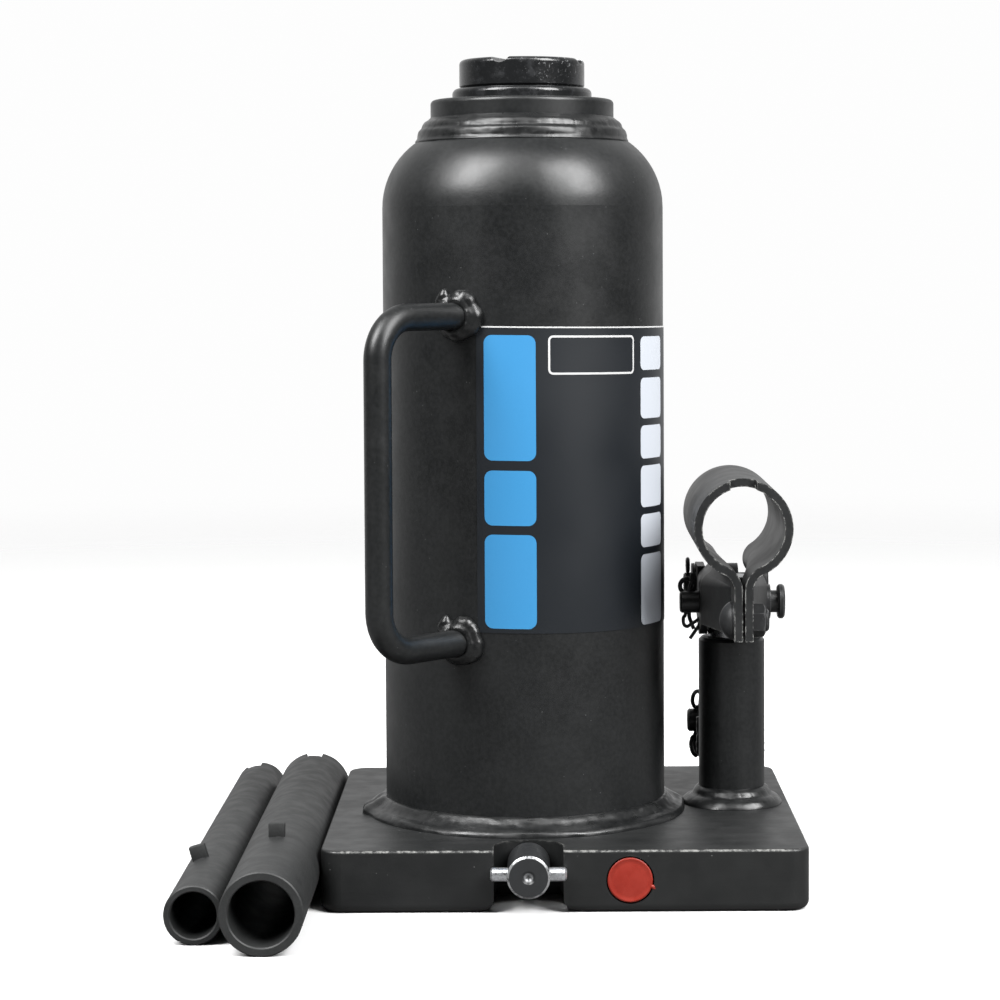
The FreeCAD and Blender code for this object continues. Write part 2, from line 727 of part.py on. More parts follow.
def make_saddle():
    top = saddle_bottom + saddle_height
    drop = corner_arc(saddle_edge_r)
    body = turned(
        (0, saddle_bottom), (saddle_r - 0.5, saddle_bottom), (saddle_r, saddle_bottom + 0.5),
        (saddle_r, top - saddle_edge_r), ((saddle_r - drop, top - drop), (saddle_r - saddle_edge_r, top)),
        (saddle_cup_r + saddle_cup_deep, top), (saddle_cup_r, top - saddle_cup_deep),
        (0, top - saddle_cup_deep))
    half = saddle_groove_wide / 2
    cutter_r = (half ** 2 + saddle_groove_deep ** 2) / (2 * saddle_groove_deep)
    cutter_z = top + cutter_r - saddle_groove_deep
    for turn in (saddle_groove_turn, saddle_groove_turn + 90):
        end = on_circle(saddle_r + 2, turn)
        body = body.cut(rod(cutter_r, (-end[0], -end[1], cutter_z), (*end, cutter_z)))
    return body


# --- carrying handle ------------------------------------------------------------------------------
def grip_frame():
    root = Vector(*on_circle(tank_r, -grip_root_turn), 0)
    lean = math.radians(grip_lean)
    outward = Vector(-math.sin(lean), -math.cos(lean), 0)
    return root, outward


def make_carry_handle():
    root, out = grip_frame()
    low = Z_AXIS * grip_low
    high = Z_AXIS * grip_high
    start = root - out * grip_bar_r
    bend = grip_bend_r
    diagonal = bend * (1 - math.sqrt(0.5))
    far = root + out * grip_reach
    turn_low = far + low
    turn_high = far + high
    path = Part.Wire([
        Part.makeLine(start + low, turn_low - out * bend),
        Part.Arc(turn_low - out * bend, turn_low - out * diagonal + Z_AXIS * diagonal,
                 turn_low + Z_AXIS * bend).toShape(),
        Part.makeLine(turn_low + Z_AXIS * bend, turn_high - Z_AXIS * bend),
        Part.Arc(turn_high - Z_AXIS * bend, turn_high - out * diagonal - Z_AXIS * diagonal,
                 turn_high - out * bend).toShape(),
        Part.makeLine(turn_high - out * bend, start + high),
    ])
    section = Part.Wire(Part.makeCircle(grip_bar_r, start + low, out))
    bar = path.makePipeShell([section], True, False)
    return bar.cut(rod(tank_r + seat_gap, (0, 0, 0), (0, 0, shoulder_start)))


def make_handle_welds():
    """A collar of weld round each end of the bar, on the tank's wall."""
    root, out = grip_frame()
    collars = []
    for height in (grip_low, grip_high):
        profile = turned(
            (grip_bar_r + seat_gap, -grip_weld_length), (grip_weld_r, -grip_weld_length),
            (grip_weld_r, grip_weld_length * 0.32),
            ((grip_bar_r + 1.9, grip_weld_length * 0.58), (grip_bar_r + seat_gap, grip_weld_length)))
        collar = along(profile, out, root + Z_AXIS * height)
        collars.append(collar.cut(rod(tank_r + seat_gap, (0, 0, 0), (0, 0, shoulder_start))))
    return Part.makeCompound(collars)


# --- pump -----------------------------------------------------------------------------------------
def at_pump(shape):
    placed = shape.copy()
    placed.translate(Vector(pump_x, pump_y, 0))
    return placed


def make_pump_cylinder():
    bore = plunger_r + running_gap
    chamfer = 0.8
    wiper_low = pump_top - wiper_height
    return at_pump(turned(
        (bore, pump_seat + gasket_thick), (pump_r, pump_seat + gasket_thick), (pump_r, pump_top - chamfer),
        (pump_r - chamfer, pump_top), (wiper_r, pump_top), (wiper_r, wiper_low), (bore, wiper_low)))


def make_plunger_wiper():
    low = pump_top - wiper_height
    return at_pump(ring(wiper_r - seat_gap, plunger_r + running_gap, (0, 0, low), (0, 0, pump_top)))


def make_pump_weld():
    inner = pump_r + seat_gap
    top = base_top + pump_weld_height
    width = pump_weld_r - inner
    return at_pump(turned(
        (inner, base_top), (pump_weld_r, base_top),
        ((inner + width * 0.55, base_top + pump_weld_height * 0.55), (inner, top))))


def make_plunger():
    head_low = pump_top + body_gap
    groove_low = plunger_bottom + pump_seal_low
    groove_r = plunger_r - pump_seal_depth
    chamfer = 0.9
    body = at_pump(turned(
        (0, plunger_bottom), (plunger_r - 0.5, plunger_bottom), (plunger_r, plunger_bottom + 0.5),
        (plunger_r, groove_low), (groove_r, groove_low), (groove_r, groove_low + pump_seal_height),
        (plunger_r, groove_low + pump_seal_height), (plunger_r, head_low), (plunger_head_r, head_low),
        (plunger_head_r, plunger_head_top - chamfer), (plunger_head_r - chamfer, plunger_head_top),
        (0, plunger_head_top)))
    half = plunger_head_r + over
    return body.cut(rod(pin1_r + seat_gap, (pump_x - half, pump_y, pin1_z), (pump_x + half, pump_y, pin1_z)))


def make_plunger_seal():
    low = plunger_bottom + pump_seal_low + seat_gap
    inner = plunger_r - pump_seal_depth + seat_gap
    high = low + pump_seal_height - 2 * seat_gap
    return at_pump(ring(plunger_r, inner, (0, 0, low), (0, 0, high)))


def headed_pin(radius, head_radius, left, right, y, z):
    """A pin along X with its head at the right; split pins go through its left end."""
    chamfer = pin_chamfer
    end = right - left
    neck = end - pin_head_thick
    shank = turned(
        (0, 0), (radius - chamfer, 0), (radius, chamfer), (radius, neck), (head_radius - chamfer, neck),
        (head_radius, neck + chamfer), (head_radius, end - chamfer), (head_radius - chamfer, end), (0, end))
    return along(shank, (1, 0, 0), (left, y, z))


def split_pin_x(left):
    return left + split_pin_r + split_pin_margin


def make_plunger_pin():
    pin = headed_pin(pin1_r, pin1_head_r, pin1_left, pin1_right, pump_y, pin1_z)
    return pin.cut(cross_hole(split_pin_x(pin1_left), pump_y, pin1_z, pin1_r))


def make_plunger_pin_washer():
    left = pump_x + ear_outer + body_gap
    return ring(washer_r, pin1_r + seat_gap, (left, pump_y, pin1_z), (left + washer_thick, pump_y, pin1_z))


def pin2_right():
    return pump_x + ear_outer + body_gap + pin_head_thick


def link_clip_x():
    """The link's split pin stands just outside the washer."""
    return pump_x - ear_outer - body_gap - thin_washer_thick - split_pin_r - slide_gap


def make_link_pin():
    pin = headed_pin(pin2_r, link_washer_r, pin2_left, pin2_right(), pin2_y, pin2_z)
    return pin.cut(cross_hole(link_clip_x(), pin2_y, pin2_z, pin2_r))


def make_link_pin_washer():
    right = pump_x - ear_outer - body_gap
    left = right - thin_washer_thick
    return ring(link_washer_r, pin2_r + seat_gap, (left, pin2_y, pin2_z), (right, pin2_y, pin2_z))


def make_pump_link():
    x0 = pump_x - link_thick / 2
    x1 = pump_x + link_thick / 2
    low = (pin3_y, pin3_z)
    high = (pin2_y, pin2_z)
    bar = tangent_hull(low, link_waist / 2, high, link_waist / 2, x0, x1)
    for y, z in (low, high):
        bar = bar.fuse(rod(link_eye_r, (x0, y, z), (x1, y, z)))
    bar = bar.cut(rod(pin2_r + seat_gap, (x0 - over, *high), (x1 + over, *high)))
    return bar.cut(rod(pin3_r + running_gap, (x0 - over, *low), (x1 + over, *low))).removeSplitter()


def make_fulcrum_bracket():
    """Two lugs and the web that joins them, hollowed to fit the back of the pump cylinder."""
    x0 = pump_x - lug_outer
    x1 = pump_x + lug_outer
    root_y = pump_y + pump_r * 0.6
    root = (root_y, pin3_z - lug_root_drop)
    bottom = pin3_z - lug_root_z - lug_eye_r
    top = pin3_z + lug_root_z + lug_eye_r
    lugs = tangent_hull(root, lug_root_z, (pin3_y, pin3_z), lug_eye_r, x0, x1)
    lugs = lugs.cut(box(x0 - over, x1 + over, root_y - 2 * lug_root_z, root_y, bottom, top))
    slot_y = pump_y + pump_r + lug_web
    slot = box(pump_x - lug_inner, pump_x + lug_inner, slot_y, pin3_y + 2 * lug_eye_r, bottom, top)
    shell = rod(pump_r + seat_gap, (pump_x, pump_y, bottom), (pump_x, pump_y, top))
    hole = rod(pin3_r + seat_gap, (x0 - over, pin3_y, pin3_z), (x1 + over, pin3_y, pin3_z))
    return lugs.cut(slot).cut(shell).cut(hole)


def make_fulcrum_pin():
    right = pump_x + lug_outer + pin_head_thick
    pin = headed_pin(pin3_r, pin3_head_r, pin3_left, right, pin3_y, pin3_z)
    return pin.cut(cross_hole(split_pin_x(pin3_left), pin3_y, pin3_z, pin3_r))


# --- handle socket --------------------------------------------------------------------------------
def socket_section(y, neck_gap, flange_gap, neck_turn_r, flare_turn_r):
    """The bent sheet's section across the socket: a ring, a neck that turns in, and two flanges.

    The radii are those of the sheet's middle. The neck turns in on one arc per side, whose narrowest
    place is neck_gap from the middle, and flares out again on a second arc to flange_gap.
    """
    half = sheet / 2
    ring_r = socket_bore_r + half
    neck_x = neck_gap + half
    flange_x = flange_gap + half
    neck_centre = Vector(neck_x + neck_turn_r, 0, 0)
    neck_centre.z = -math.sqrt((ring_r + neck_turn_r) ** 2 - neck_centre.x ** 2)
    turns = neck_turn_r + flare_turn_r
    flare = math.acos(1 - (flange_x - neck_x) / turns)
    flare_centre = neck_centre - Vector(math.cos(flare), 0, math.sin(flare)) * turns
    to_ring = math.atan2(-neck_centre.z, -neck_centre.x)
    low = flange_bottom - socket_z - ear_front_r

    def side(offset):
        """The points of one face of the sheet on the right, from the ring down to the flange's foot."""
        neck_r = neck_turn_r - offset
        flare_r = flare_turn_r + offset

        def on(centre, radius, turn):
            return centre + Vector(math.cos(turn), 0, math.sin(turn)) * radius

        leave = on(neck_centre, neck_r, to_ring)
        neck_mid = on(neck_centre, neck_r, (to_ring + math.pi + flare) / 2)
        change = on(neck_centre, neck_r, math.pi + flare)
        flare_mid = on(flare_centre, flare_r, flare / 2)
        foot = on(flare_centre, flare_r, 0)
        return leave, neck_mid, change, flare_mid, foot, Vector(foot.x, 0, low)

    def mirrored(point):
        return Vector(-point.x, 0, point.z)

    def half_face(points):
        leave, neck_mid, change, flare_mid, foot, end = points
        return [Part.Arc(leave, neck_mid, change).toShape(), Part.Arc(change, flare_mid, foot).toShape(),
                Part.makeLine(foot, end)]

    edges = []
    faces = []
    for offset in (half, -half):
        right = side(offset)
        left = [mirrored(p) for p in right]
        crown = Vector(0, 0, ring_r + offset)
        edges += half_face(right) + half_face(left)
        edges.append(Part.Arc(left[0], crown, right[0]).toShape())
        faces.append((right[-1], left[-1]))
    (outer_right, outer_left), (inner_right, inner_left) = faces
    edges.append(Part.makeLine(outer_right, inner_right))
    edges.append(Part.makeLine(outer_left, inner_left))
    wire = Part.Wire(Part.__sortEdges__(edges))
    wire.translate(Vector(pump_x, y, socket_z))
    return wire


def make_socket():
    pinched = (pinch_half_gap - seat_gap, pinch_half_gap, pinched_neck_r, flare_r)
    spread = (neck_half_gap, ear_half_gap, spread_neck_r, flare_r)
    front = Part.Face(socket_section(-socket_front, *pinched)).extrude(Y_AXIS * (socket_front - pinch_back))
    middle = Part.makeLoft([socket_section(-pinch_back, *pinched), socket_section(-spread_front, *spread)],
                           True, True)
    back = Part.Face(socket_section(-spread_front, *spread)).extrude(Y_AXIS * (socket_back + spread_front))
    body = front.fuse(middle).fuse(back)
    wide = socket_r + over
    x0 = pump_x - wide
    x1 = pump_x + wide
    ear_shape = tangent_hull((pump_y, pin1_z), ear_front_r, (pin2_y, pin2_z), ear_back_r, x0, x1)
    keep = box(x0, x1, -socket_front, socket_back, flange_bottom, socket_z + wide).fuse(ear_shape)
    body = body.common(keep)
    for inner in (-ear_outer, ear_half_gap):
        ear = box(pump_x + inner, pump_x + inner + sheet, socket_back, pin2_y + 2 * ear_back_r, 0, socket_z)
        body = body.fuse(ear.common(ear_shape))
    notch = notch_wide / 2
    body = body.cut(box(pump_x - notch, pump_x + notch, -socket_front - over, notch_deep - socket_front,
                        socket_z, socket_z + wide))
    for y, z, radius in ((clamp_bolt_y, pin1_z, clamp_bolt_r + slide_gap),
                         (pump_y, pin1_z, pin1_r + slide_gap), (pin2_y, pin2_z, pin2_r + link_play)):
        body = body.cut(rod(radius, (x0, y, z), (x1, y, z)))
    return body.removeSplitter()


def make_clamp_bolt():
    """A round-headed bolt through the pinched flanges, its head on the left."""
    flange = pinch_half_gap + sheet
    left = -flange - bolt_head_thick
    right = flange + nut_thick + bolt_end_out
    edge = 0.7
    dome_r = (bolt_head_r ** 2 + (bolt_head_thick - edge) ** 2) / (2 * (bolt_head_thick - edge))
    rise = bolt_head_r * 0.55
    dome_x = left + dome_r - math.sqrt(dome_r ** 2 - rise ** 2)
    bolt = turned(
        (0, left), ((rise, dome_x), (bolt_head_r, -flange - edge)), (bolt_head_r, -flange),
        (clamp_bolt_r, -flange), (clamp_bolt_r, right - pin_chamfer), (clamp_bolt_r - pin_chamfer, right),
        (0, right))
    return along(bolt, (1, 0, 0), (pump_x, clamp_bolt_y, pin1_z))


def make_clamp_nut():
    flange = pinch_half_gap + sheet
    corner = nut_flats / math.sqrt(3)
    blank = hexagon(nut_flats, nut_thick)
    crown = turned((0, 0), (corner + 0.2, 0), (corner + 0.2, nut_thick - 0.7), (corner - 0.8, nut_thick),
                   (0, nut_thick))
    blank = blank.common(crown).cut(rod(clamp_bolt_r + seat_gap, (0, 0, -over), (0, 0, nut_thick + over)))
    return along(blank, (1, 0, 0), (pump_x + flange, clamp_bolt_y, pin1_z))


# --- release valve --------------------------------------------------------------------------------
def along_y(shape, x, z):
    """Lays a shape made about Z along +Y, so that its height becomes Y."""
    return along(shape, (0, 1, 0), (x, 0, z))


def make_release_spindle():
    tip = release_ball_y() - release_ball_r - slide_gap
    face = -knob_face
    neck = face + knob_length
    ring_low = o_ring_y - o_ring_section_r - o_ring_side_gap
    ring_high = o_ring_y + o_ring_section_r + o_ring_side_gap
    neck_edge = knob_neck_chamfer
    tip_edge = spindle_tip_chamfer
    body = along_y(turned(
        (0, face + knob_dimple_r), (knob_dimple_r, face), (knob_r - knob_edge, face),
        (knob_r, face + knob_edge), (knob_r, neck - neck_edge), (knob_r - neck_edge, neck), (spindle_r, neck),
        (spindle_r, ring_low), (o_ring_groove_r, ring_low), (o_ring_groove_r, ring_high),
        (spindle_r, ring_high), (spindle_r, tip - tip_edge), (spindle_r - tip_edge, tip), (0, tip)),
        valve_x, valve_z)
    half = knob_r + over
    hole = rod(cross_pin_r + seat_gap, (valve_x - half, cross_pin_y, valve_z),
               (valve_x + half, cross_pin_y, valve_z))
    return body.cut(hole)


def make_cross_pin():
    chamfer = pin_chamfer
    end = cross_pin_length / 2
    pin = turned((0, -end), (cross_pin_r - chamfer, -end), (cross_pin_r, chamfer - end),
                 (cross_pin_r, end - chamfer), (cross_pin_r - chamfer, end), (0, end))
    return along(pin, (1, 0, 0), (valve_x, cross_pin_y, valve_z))


def make_release_o_ring():
    centre_r = o_ring_groove_r + slide_gap + o_ring_section_r
    reach = 2 * o_ring_section_r
    whole = Part.makeTorus(centre_r, o_ring_section_r, Vector(valve_x, o_ring_y, valve_z), Y_AXIS)
    bore = rod(spindle_r, (valve_x, o_ring_y - reach, valve_z), (valve_x, o_ring_y + reach, valve_z))
    return whole.common(bore)


def seated_ball(radius, seat_radius):
    """How far a ball's centre stands off the edge of the hole that it closes."""
    return math.sqrt(radius ** 2 - seat_radius ** 2) + seat_gap


def release_ball_y():
    return release_seat_y - seated_ball(release_ball_r, small_drill_r)


def make_release_ball():
    return Part.makeSphere(release_ball_r, Vector(valve_x, release_ball_y(), valve_z))


# --- relief valve ---------------------------------------------------------------------------------
def make_relief_cap():
    face = -base_front
    edge = 0.3
    return along_y(turned(
        (0, face), (relief_cap_r - edge, face), (relief_cap_r, face + edge),
        (relief_cap_r, face + relief_cap_thick), (0, face + relief_cap_thick)), relief_x, relief_z)


def relief_ball_y():
    return relief_seat_y - seated_ball(relief_ball_r, small_drill_r)


def make_relief_ball():
    return Part.makeSphere(relief_ball_r, Vector(relief_x, relief_ball_y(), relief_z))


def relief_spring_back():
    return relief_ball_y() - relief_ball_r * spring_seat_rise


def make_relief_spring():
    start = (relief_x, relief_spring_back(), relief_z)
    return spring(relief_ball_r + relief_spring_clear, relief_spring_length, start, (0, -1, 0))


def make_relief_screw():
    back = relief_spring_back() - relief_spring_length - seat_gap
    front = back - relief_screw_length
    wide = relief_bore_r + over
    slot = relief_slot_wide / 2
    body = rod(relief_bore_r - seat_gap, (relief_x, front, relief_z), (relief_x, back, relief_z))
    return body.cut(box(relief_x - wide, relief_x + wide, front - over, front + relief_slot_deep,
                        relief_z - slot, relief_z + slot))


# --- pump valves ----------------------------------------------------------------------------------
def make_suction_ball():
    z = suction_seat_z + seated_ball(suction_ball_r, small_drill_r)
    return Part.makeSphere(suction_ball_r, Vector(pump_x, pump_y, z))


def delivery_ball_y():
    return delivery_seat_y + seated_ball(delivery_ball_r, small_drill_r)


def make_delivery_ball():
    return Part.makeSphere(delivery_ball_r, Vector(pump_x, delivery_ball_y(), gallery_z))


def delivery_spring_front():
    return delivery_ball_y() + delivery_ball_r * spring_seat_rise


def make_delivery_spring():
    start = (pump_x, delivery_spring_front(), gallery_z)
    return spring(delivery_ball_r + delivery_spring_clear, delivery_spring_length, start, (0, 1, 0))


def make_delivery_plug():
    front = delivery_spring_front() + delivery_spring_length + seat_gap
    back = base_back - delivery_plug_inset
    body = rod(delivery_bore_r - seat_gap, (pump_x, front, gallery_z), (pump_x, back, gallery_z))
    key = along(hexagon(delivery_key_flats, delivery_key_depth + over), (0, 1, 0),
                (pump_x, back - delivery_key_depth, gallery_z))
    return body.cut(key)


def make_strainer():
    """A thimble of sieve over the oil port, standing on the base inside the tank."""
    at = (suction_port_x, pump_y)
    top = base_top + strainer_height
    shell = rod(strainer_r, (*at, base_top), (*at, top))
    return shell.cut(rod(strainer_r - strainer_wall, (*at, base_top - over), (*at, top - strainer_wall)))


# --- filler plug and label ------------------------------------------------------------------------
def make_filler_plug():
    stem = turned(
        (0, -filler_depth), (filler_hole_r - 0.9, -filler_depth), (filler_hole_r, -filler_depth + 1.2),
        (filler_hole_r, 0), (filler_head_r, 0), (filler_head_r, filler_head_thick - 0.8),
        (filler_head_r - 0.8, filler_head_thick), (0, filler_head_thick))
    return along(stem, (0, 1, 0), (0, tank_r + seat_gap, filler_z))


def make_label():
    inner = tank_r + seat_gap
    sector = Part.makeCylinder(inner + label_thick, label_high - label_low, Vector(0, 0, label_low),
                               Z_AXIS, label_sweep)
    sector = sector.cut(rod(inner, (0, 0, 0), (0, 0, shoulder_start)))
    sector.rotate(Vector(0, 0, 0), Z_AXIS, label_start - 90)
    root, out = grip_frame()
    for height in (grip_low, grip_high):
        start = root + Z_AXIS * height
        reach = out * grip_weld_length
        sector = sector.cut(rod(grip_weld_r + slide_gap, start - reach, start + reach))
    return sector


# --- handle tubes ---------------------------------------------------------------------------------
def make_tube(x, radius, wall, front, length, tab_back, lean):
    """A tube along Y on the floor, with a tab near its front and a notch across its back end."""
    back = front + length
    pipe = ring(radius, radius - wall, (x, front, radius), (x, back, radius))
    notch = box(x - tube_notch_wide / 2, x + tube_notch_wide / 2, back - tube_notch_deep, back + over,
                radius, 2 * radius + over)
    tab_y = front + tab_back
    tab = box(x - tab_wide / 2, x + tab_wide / 2, tab_y, tab_y + tab_long,
              2 * radius - wall / 2, 2 * radius + tab_high)
    pipe = pipe.cut(notch).fuse(tab)
    pipe.rotate(Vector(x, 0, radius), Y_AXIS, -lean)
    return pipe


# --- every node -----------------------------------------------------------------------------------
def make_all():
    save("base", make_base())
    save("side_plugs", side_plugs())
    save("reservoir_tank", make_tank())
    save("tank_weld", make_tank_weld())
    save("top_weld", make_top_weld())
    save("top_nut", make_top_nut())
    save("ram_wiper", make_ram_wiper())
    save("ram_cylinder", make_ram_cylinder())
    save("cylinder_gasket", ring(cylinder_r, cylinder_bore_r, (0, 0, cylinder_seat),
                                 (0, 0, cylinder_seat + gasket_thick)))
    save("ram", make_ram())
    save("ram_seal", piston_groove(seal_low, seal_height, seat_gap))
    save("ram_guide_ring", piston_groove(guide_low, guide_height, seat_gap))
    save("screw_stop_ring", make_stop_ring())
    save("extension_screw", make_extension_screw())
    save("saddle", make_saddle())
    save("carry_handle", make_carry_handle())
    save("handle_welds", make_handle_welds())
    save("filler_plug", make_filler_plug())
    save("label", make_label())
    save("oil_strainer", make_strainer())
    save("pump_cylinder", make_pump_cylinder())
    save("pump_gasket", at_pump(ring(pump_r, plunger_r + running_gap, (0, 0, pump_seat),
                                     (0, 0, pump_seat + gasket_thick))))
    save("pump_weld", make_pump_weld())
    save("plunger_wiper", make_plunger_wiper())
    save("pump_plunger", make_plunger())
    save("plunger_seal", make_plunger_seal())
    save("plunger_pin", make_plunger_pin())
    save("plunger_pin_washer", make_plunger_pin_washer())
    save("plunger_pin_clip", split_pin(split_pin_x(pin1_left), pump_y, pin1_z, pin1_r))
    save("handle_socket", make_socket())
    save("clamp_bolt", make_clamp_bolt())
    save("clamp_nut", make_clamp_nut())
    save("pump_link", make_pump_link())
    save("link_pin", make_link_pin())
    save("link_pin_washer", make_link_pin_washer())
    save("link_pin_clip", split_pin(link_clip_x(), pin2_y, pin2_z, pin2_r, 90))
    save("fulcrum_bracket", make_fulcrum_bracket())
    save("fulcrum_pin", make_fulcrum_pin())
    save("fulcrum_pin_clip", split_pin(split_pin_x(pin3_left), pin3_y, pin3_z, pin3_r, 90))
    save("suction_ball", make_suction_ball())
    save("delivery_ball", make_delivery_ball())
    save("delivery_spring", make_delivery_spring())
    save("delivery_plug", make_delivery_plug())
    save("release_spindle", make_release_spindle())
    save("release_cross_pin", make_cross_pin())
    save("release_o_ring", make_release_o_ring())
    save("release_ball", make_release_ball())
    save("relief_cap", make_relief_cap())
    save("relief_ball", make_relief_ball())
    save("relief_spring", make_relief_spring())
    save("relief_screw", make_relief_screw())
    save("handle_tube_large", make_tube(big_tube_x, big_tube_r, big_tube_wall, big_tube_front,
                                        big_tube_length, big_tab_back, 0))
    save("handle_tube_small", make_tube(small_tube_x, small_tube_r, small_tube_wall, small_tube_front,
                                        small_tube_length, small_tab_back, small_tab_lean))


make_all()
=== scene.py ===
import json
import math

import bmesh
import bpy
from mathutils import Matrix, Vector, noise


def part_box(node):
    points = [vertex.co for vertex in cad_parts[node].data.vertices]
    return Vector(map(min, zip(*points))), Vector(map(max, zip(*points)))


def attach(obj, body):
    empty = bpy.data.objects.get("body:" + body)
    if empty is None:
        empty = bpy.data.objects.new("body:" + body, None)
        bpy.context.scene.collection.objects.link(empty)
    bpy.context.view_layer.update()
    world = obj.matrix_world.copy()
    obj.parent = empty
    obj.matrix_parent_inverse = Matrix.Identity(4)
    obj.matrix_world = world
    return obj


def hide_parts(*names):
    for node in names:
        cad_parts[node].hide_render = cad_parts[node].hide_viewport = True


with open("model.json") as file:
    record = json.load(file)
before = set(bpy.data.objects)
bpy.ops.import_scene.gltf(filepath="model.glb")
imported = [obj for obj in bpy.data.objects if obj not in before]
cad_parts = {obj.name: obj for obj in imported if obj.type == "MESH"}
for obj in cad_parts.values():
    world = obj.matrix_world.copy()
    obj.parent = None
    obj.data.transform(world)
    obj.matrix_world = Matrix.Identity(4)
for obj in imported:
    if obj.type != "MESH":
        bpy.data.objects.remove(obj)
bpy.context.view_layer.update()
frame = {"nodes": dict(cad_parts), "record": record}

MM = 0.001
FRONT = -90.0            # degrees of the direction -Y in the XY plane


# --- places read from the frame -------------------------------------------------------------------
def mid(node):
    low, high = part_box(node)
    return (low + high) / 2


def half_width(node):
    low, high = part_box(node)
    return (high.x - low.x) / 2


BASE_LOW, BASE_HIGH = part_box("base")
TANK_R = half_width("reservoir_tank")
NUT_R = half_width("top_nut")
PUMP = mid("pump_cylinder")
PUMP_R = half_width("pump_cylinder")
BASE_TOP = BASE_HIGH.z

# the handle tubes: outer radius, wall, the tab's distance from the front end, and the tube's turn in degrees
LARGE_TUBE = (10.35 * MM, 2.2 * MM, 42 * MM, 0)
SMALL_TUBE = (7.4 * MM, 1.6 * MM, 33 * MM, 17)

# the tabs and notches that lock the two handle tubes together
TUBE_NOTCH_WIDE = 4.8 * MM
TUBE_NOTCH_DEEP = 5.0 * MM
TAB_WIDE = 4.2 * MM
TAB_LONG = 2.4 * MM
TAB_HIGH = 3.5 * MM
EDGE_ROUND = 0.3 * MM

# the carrying handle's bar, and the turns of its root and of its plane from straight ahead
GRIP_R = 3.6 * MM
GRIP_TURN = 25.7
GRIP_LEAN = 41.2

# the label: its turns from straight ahead in degrees, its levels in millimetres
LABEL_START = -18.4
LABEL_END = 130.6
LABEL_TILT = 0.0127      # it was stuck on a little down to the right
PRINT_LIFT = 0.02 * MM
BORDER = 0.25 * MM
BLUE_TURNS = (-15.3, 5.1)
BLUE_LEVELS = ((115.0, 148.0), (97.9, 112.4), (70.7, 95.5))
BLUE_CORNER = 2.2 * MM
WHITE_TURNS = (54.5, 74.7)
WHITE_LEVELS = ((138.6, 147.6), (125.6, 136.5), (114.8, 123.7), (101.7, 112.9), (90.9, 99.8), (70.0, 89.0))
WHITE_CORNER = 1.6 * MM
FRAME_TURNS = (10, 50)
FRAME_LEVELS = (137.7, 148.0)
FRAME_CORNER = 1.4 * MM
FRAME_LINE = 0.55 * MM

# the extension screw's thread
THREAD_PITCH = 4 * MM
THREAD_DEEP = 1.7 * MM

# the stage, in metres, watts and degrees
CAMERA_PLACE = (0.0040, -0.7737, 0.1656)
CAMERA_PITCH = 2.694
CAMERA_ROLL = 0.28
CAMERA_LENS = 101.12
CAMERA_SHIFT = (-0.038, -0.10)
LIGHT_TARGET = Vector((0, 0, 0.17))
FLOOR_R = 1.6
FLOOR_FADE = (0.28, 1.3)
FLOOR_SEEN = (0.82, 0.82, 0.82)
FLOOR_LIGHT = (0.16, 0.16, 0.16)
BACKDROP_SEEN = (0.985, 0.985, 0.985, 1)


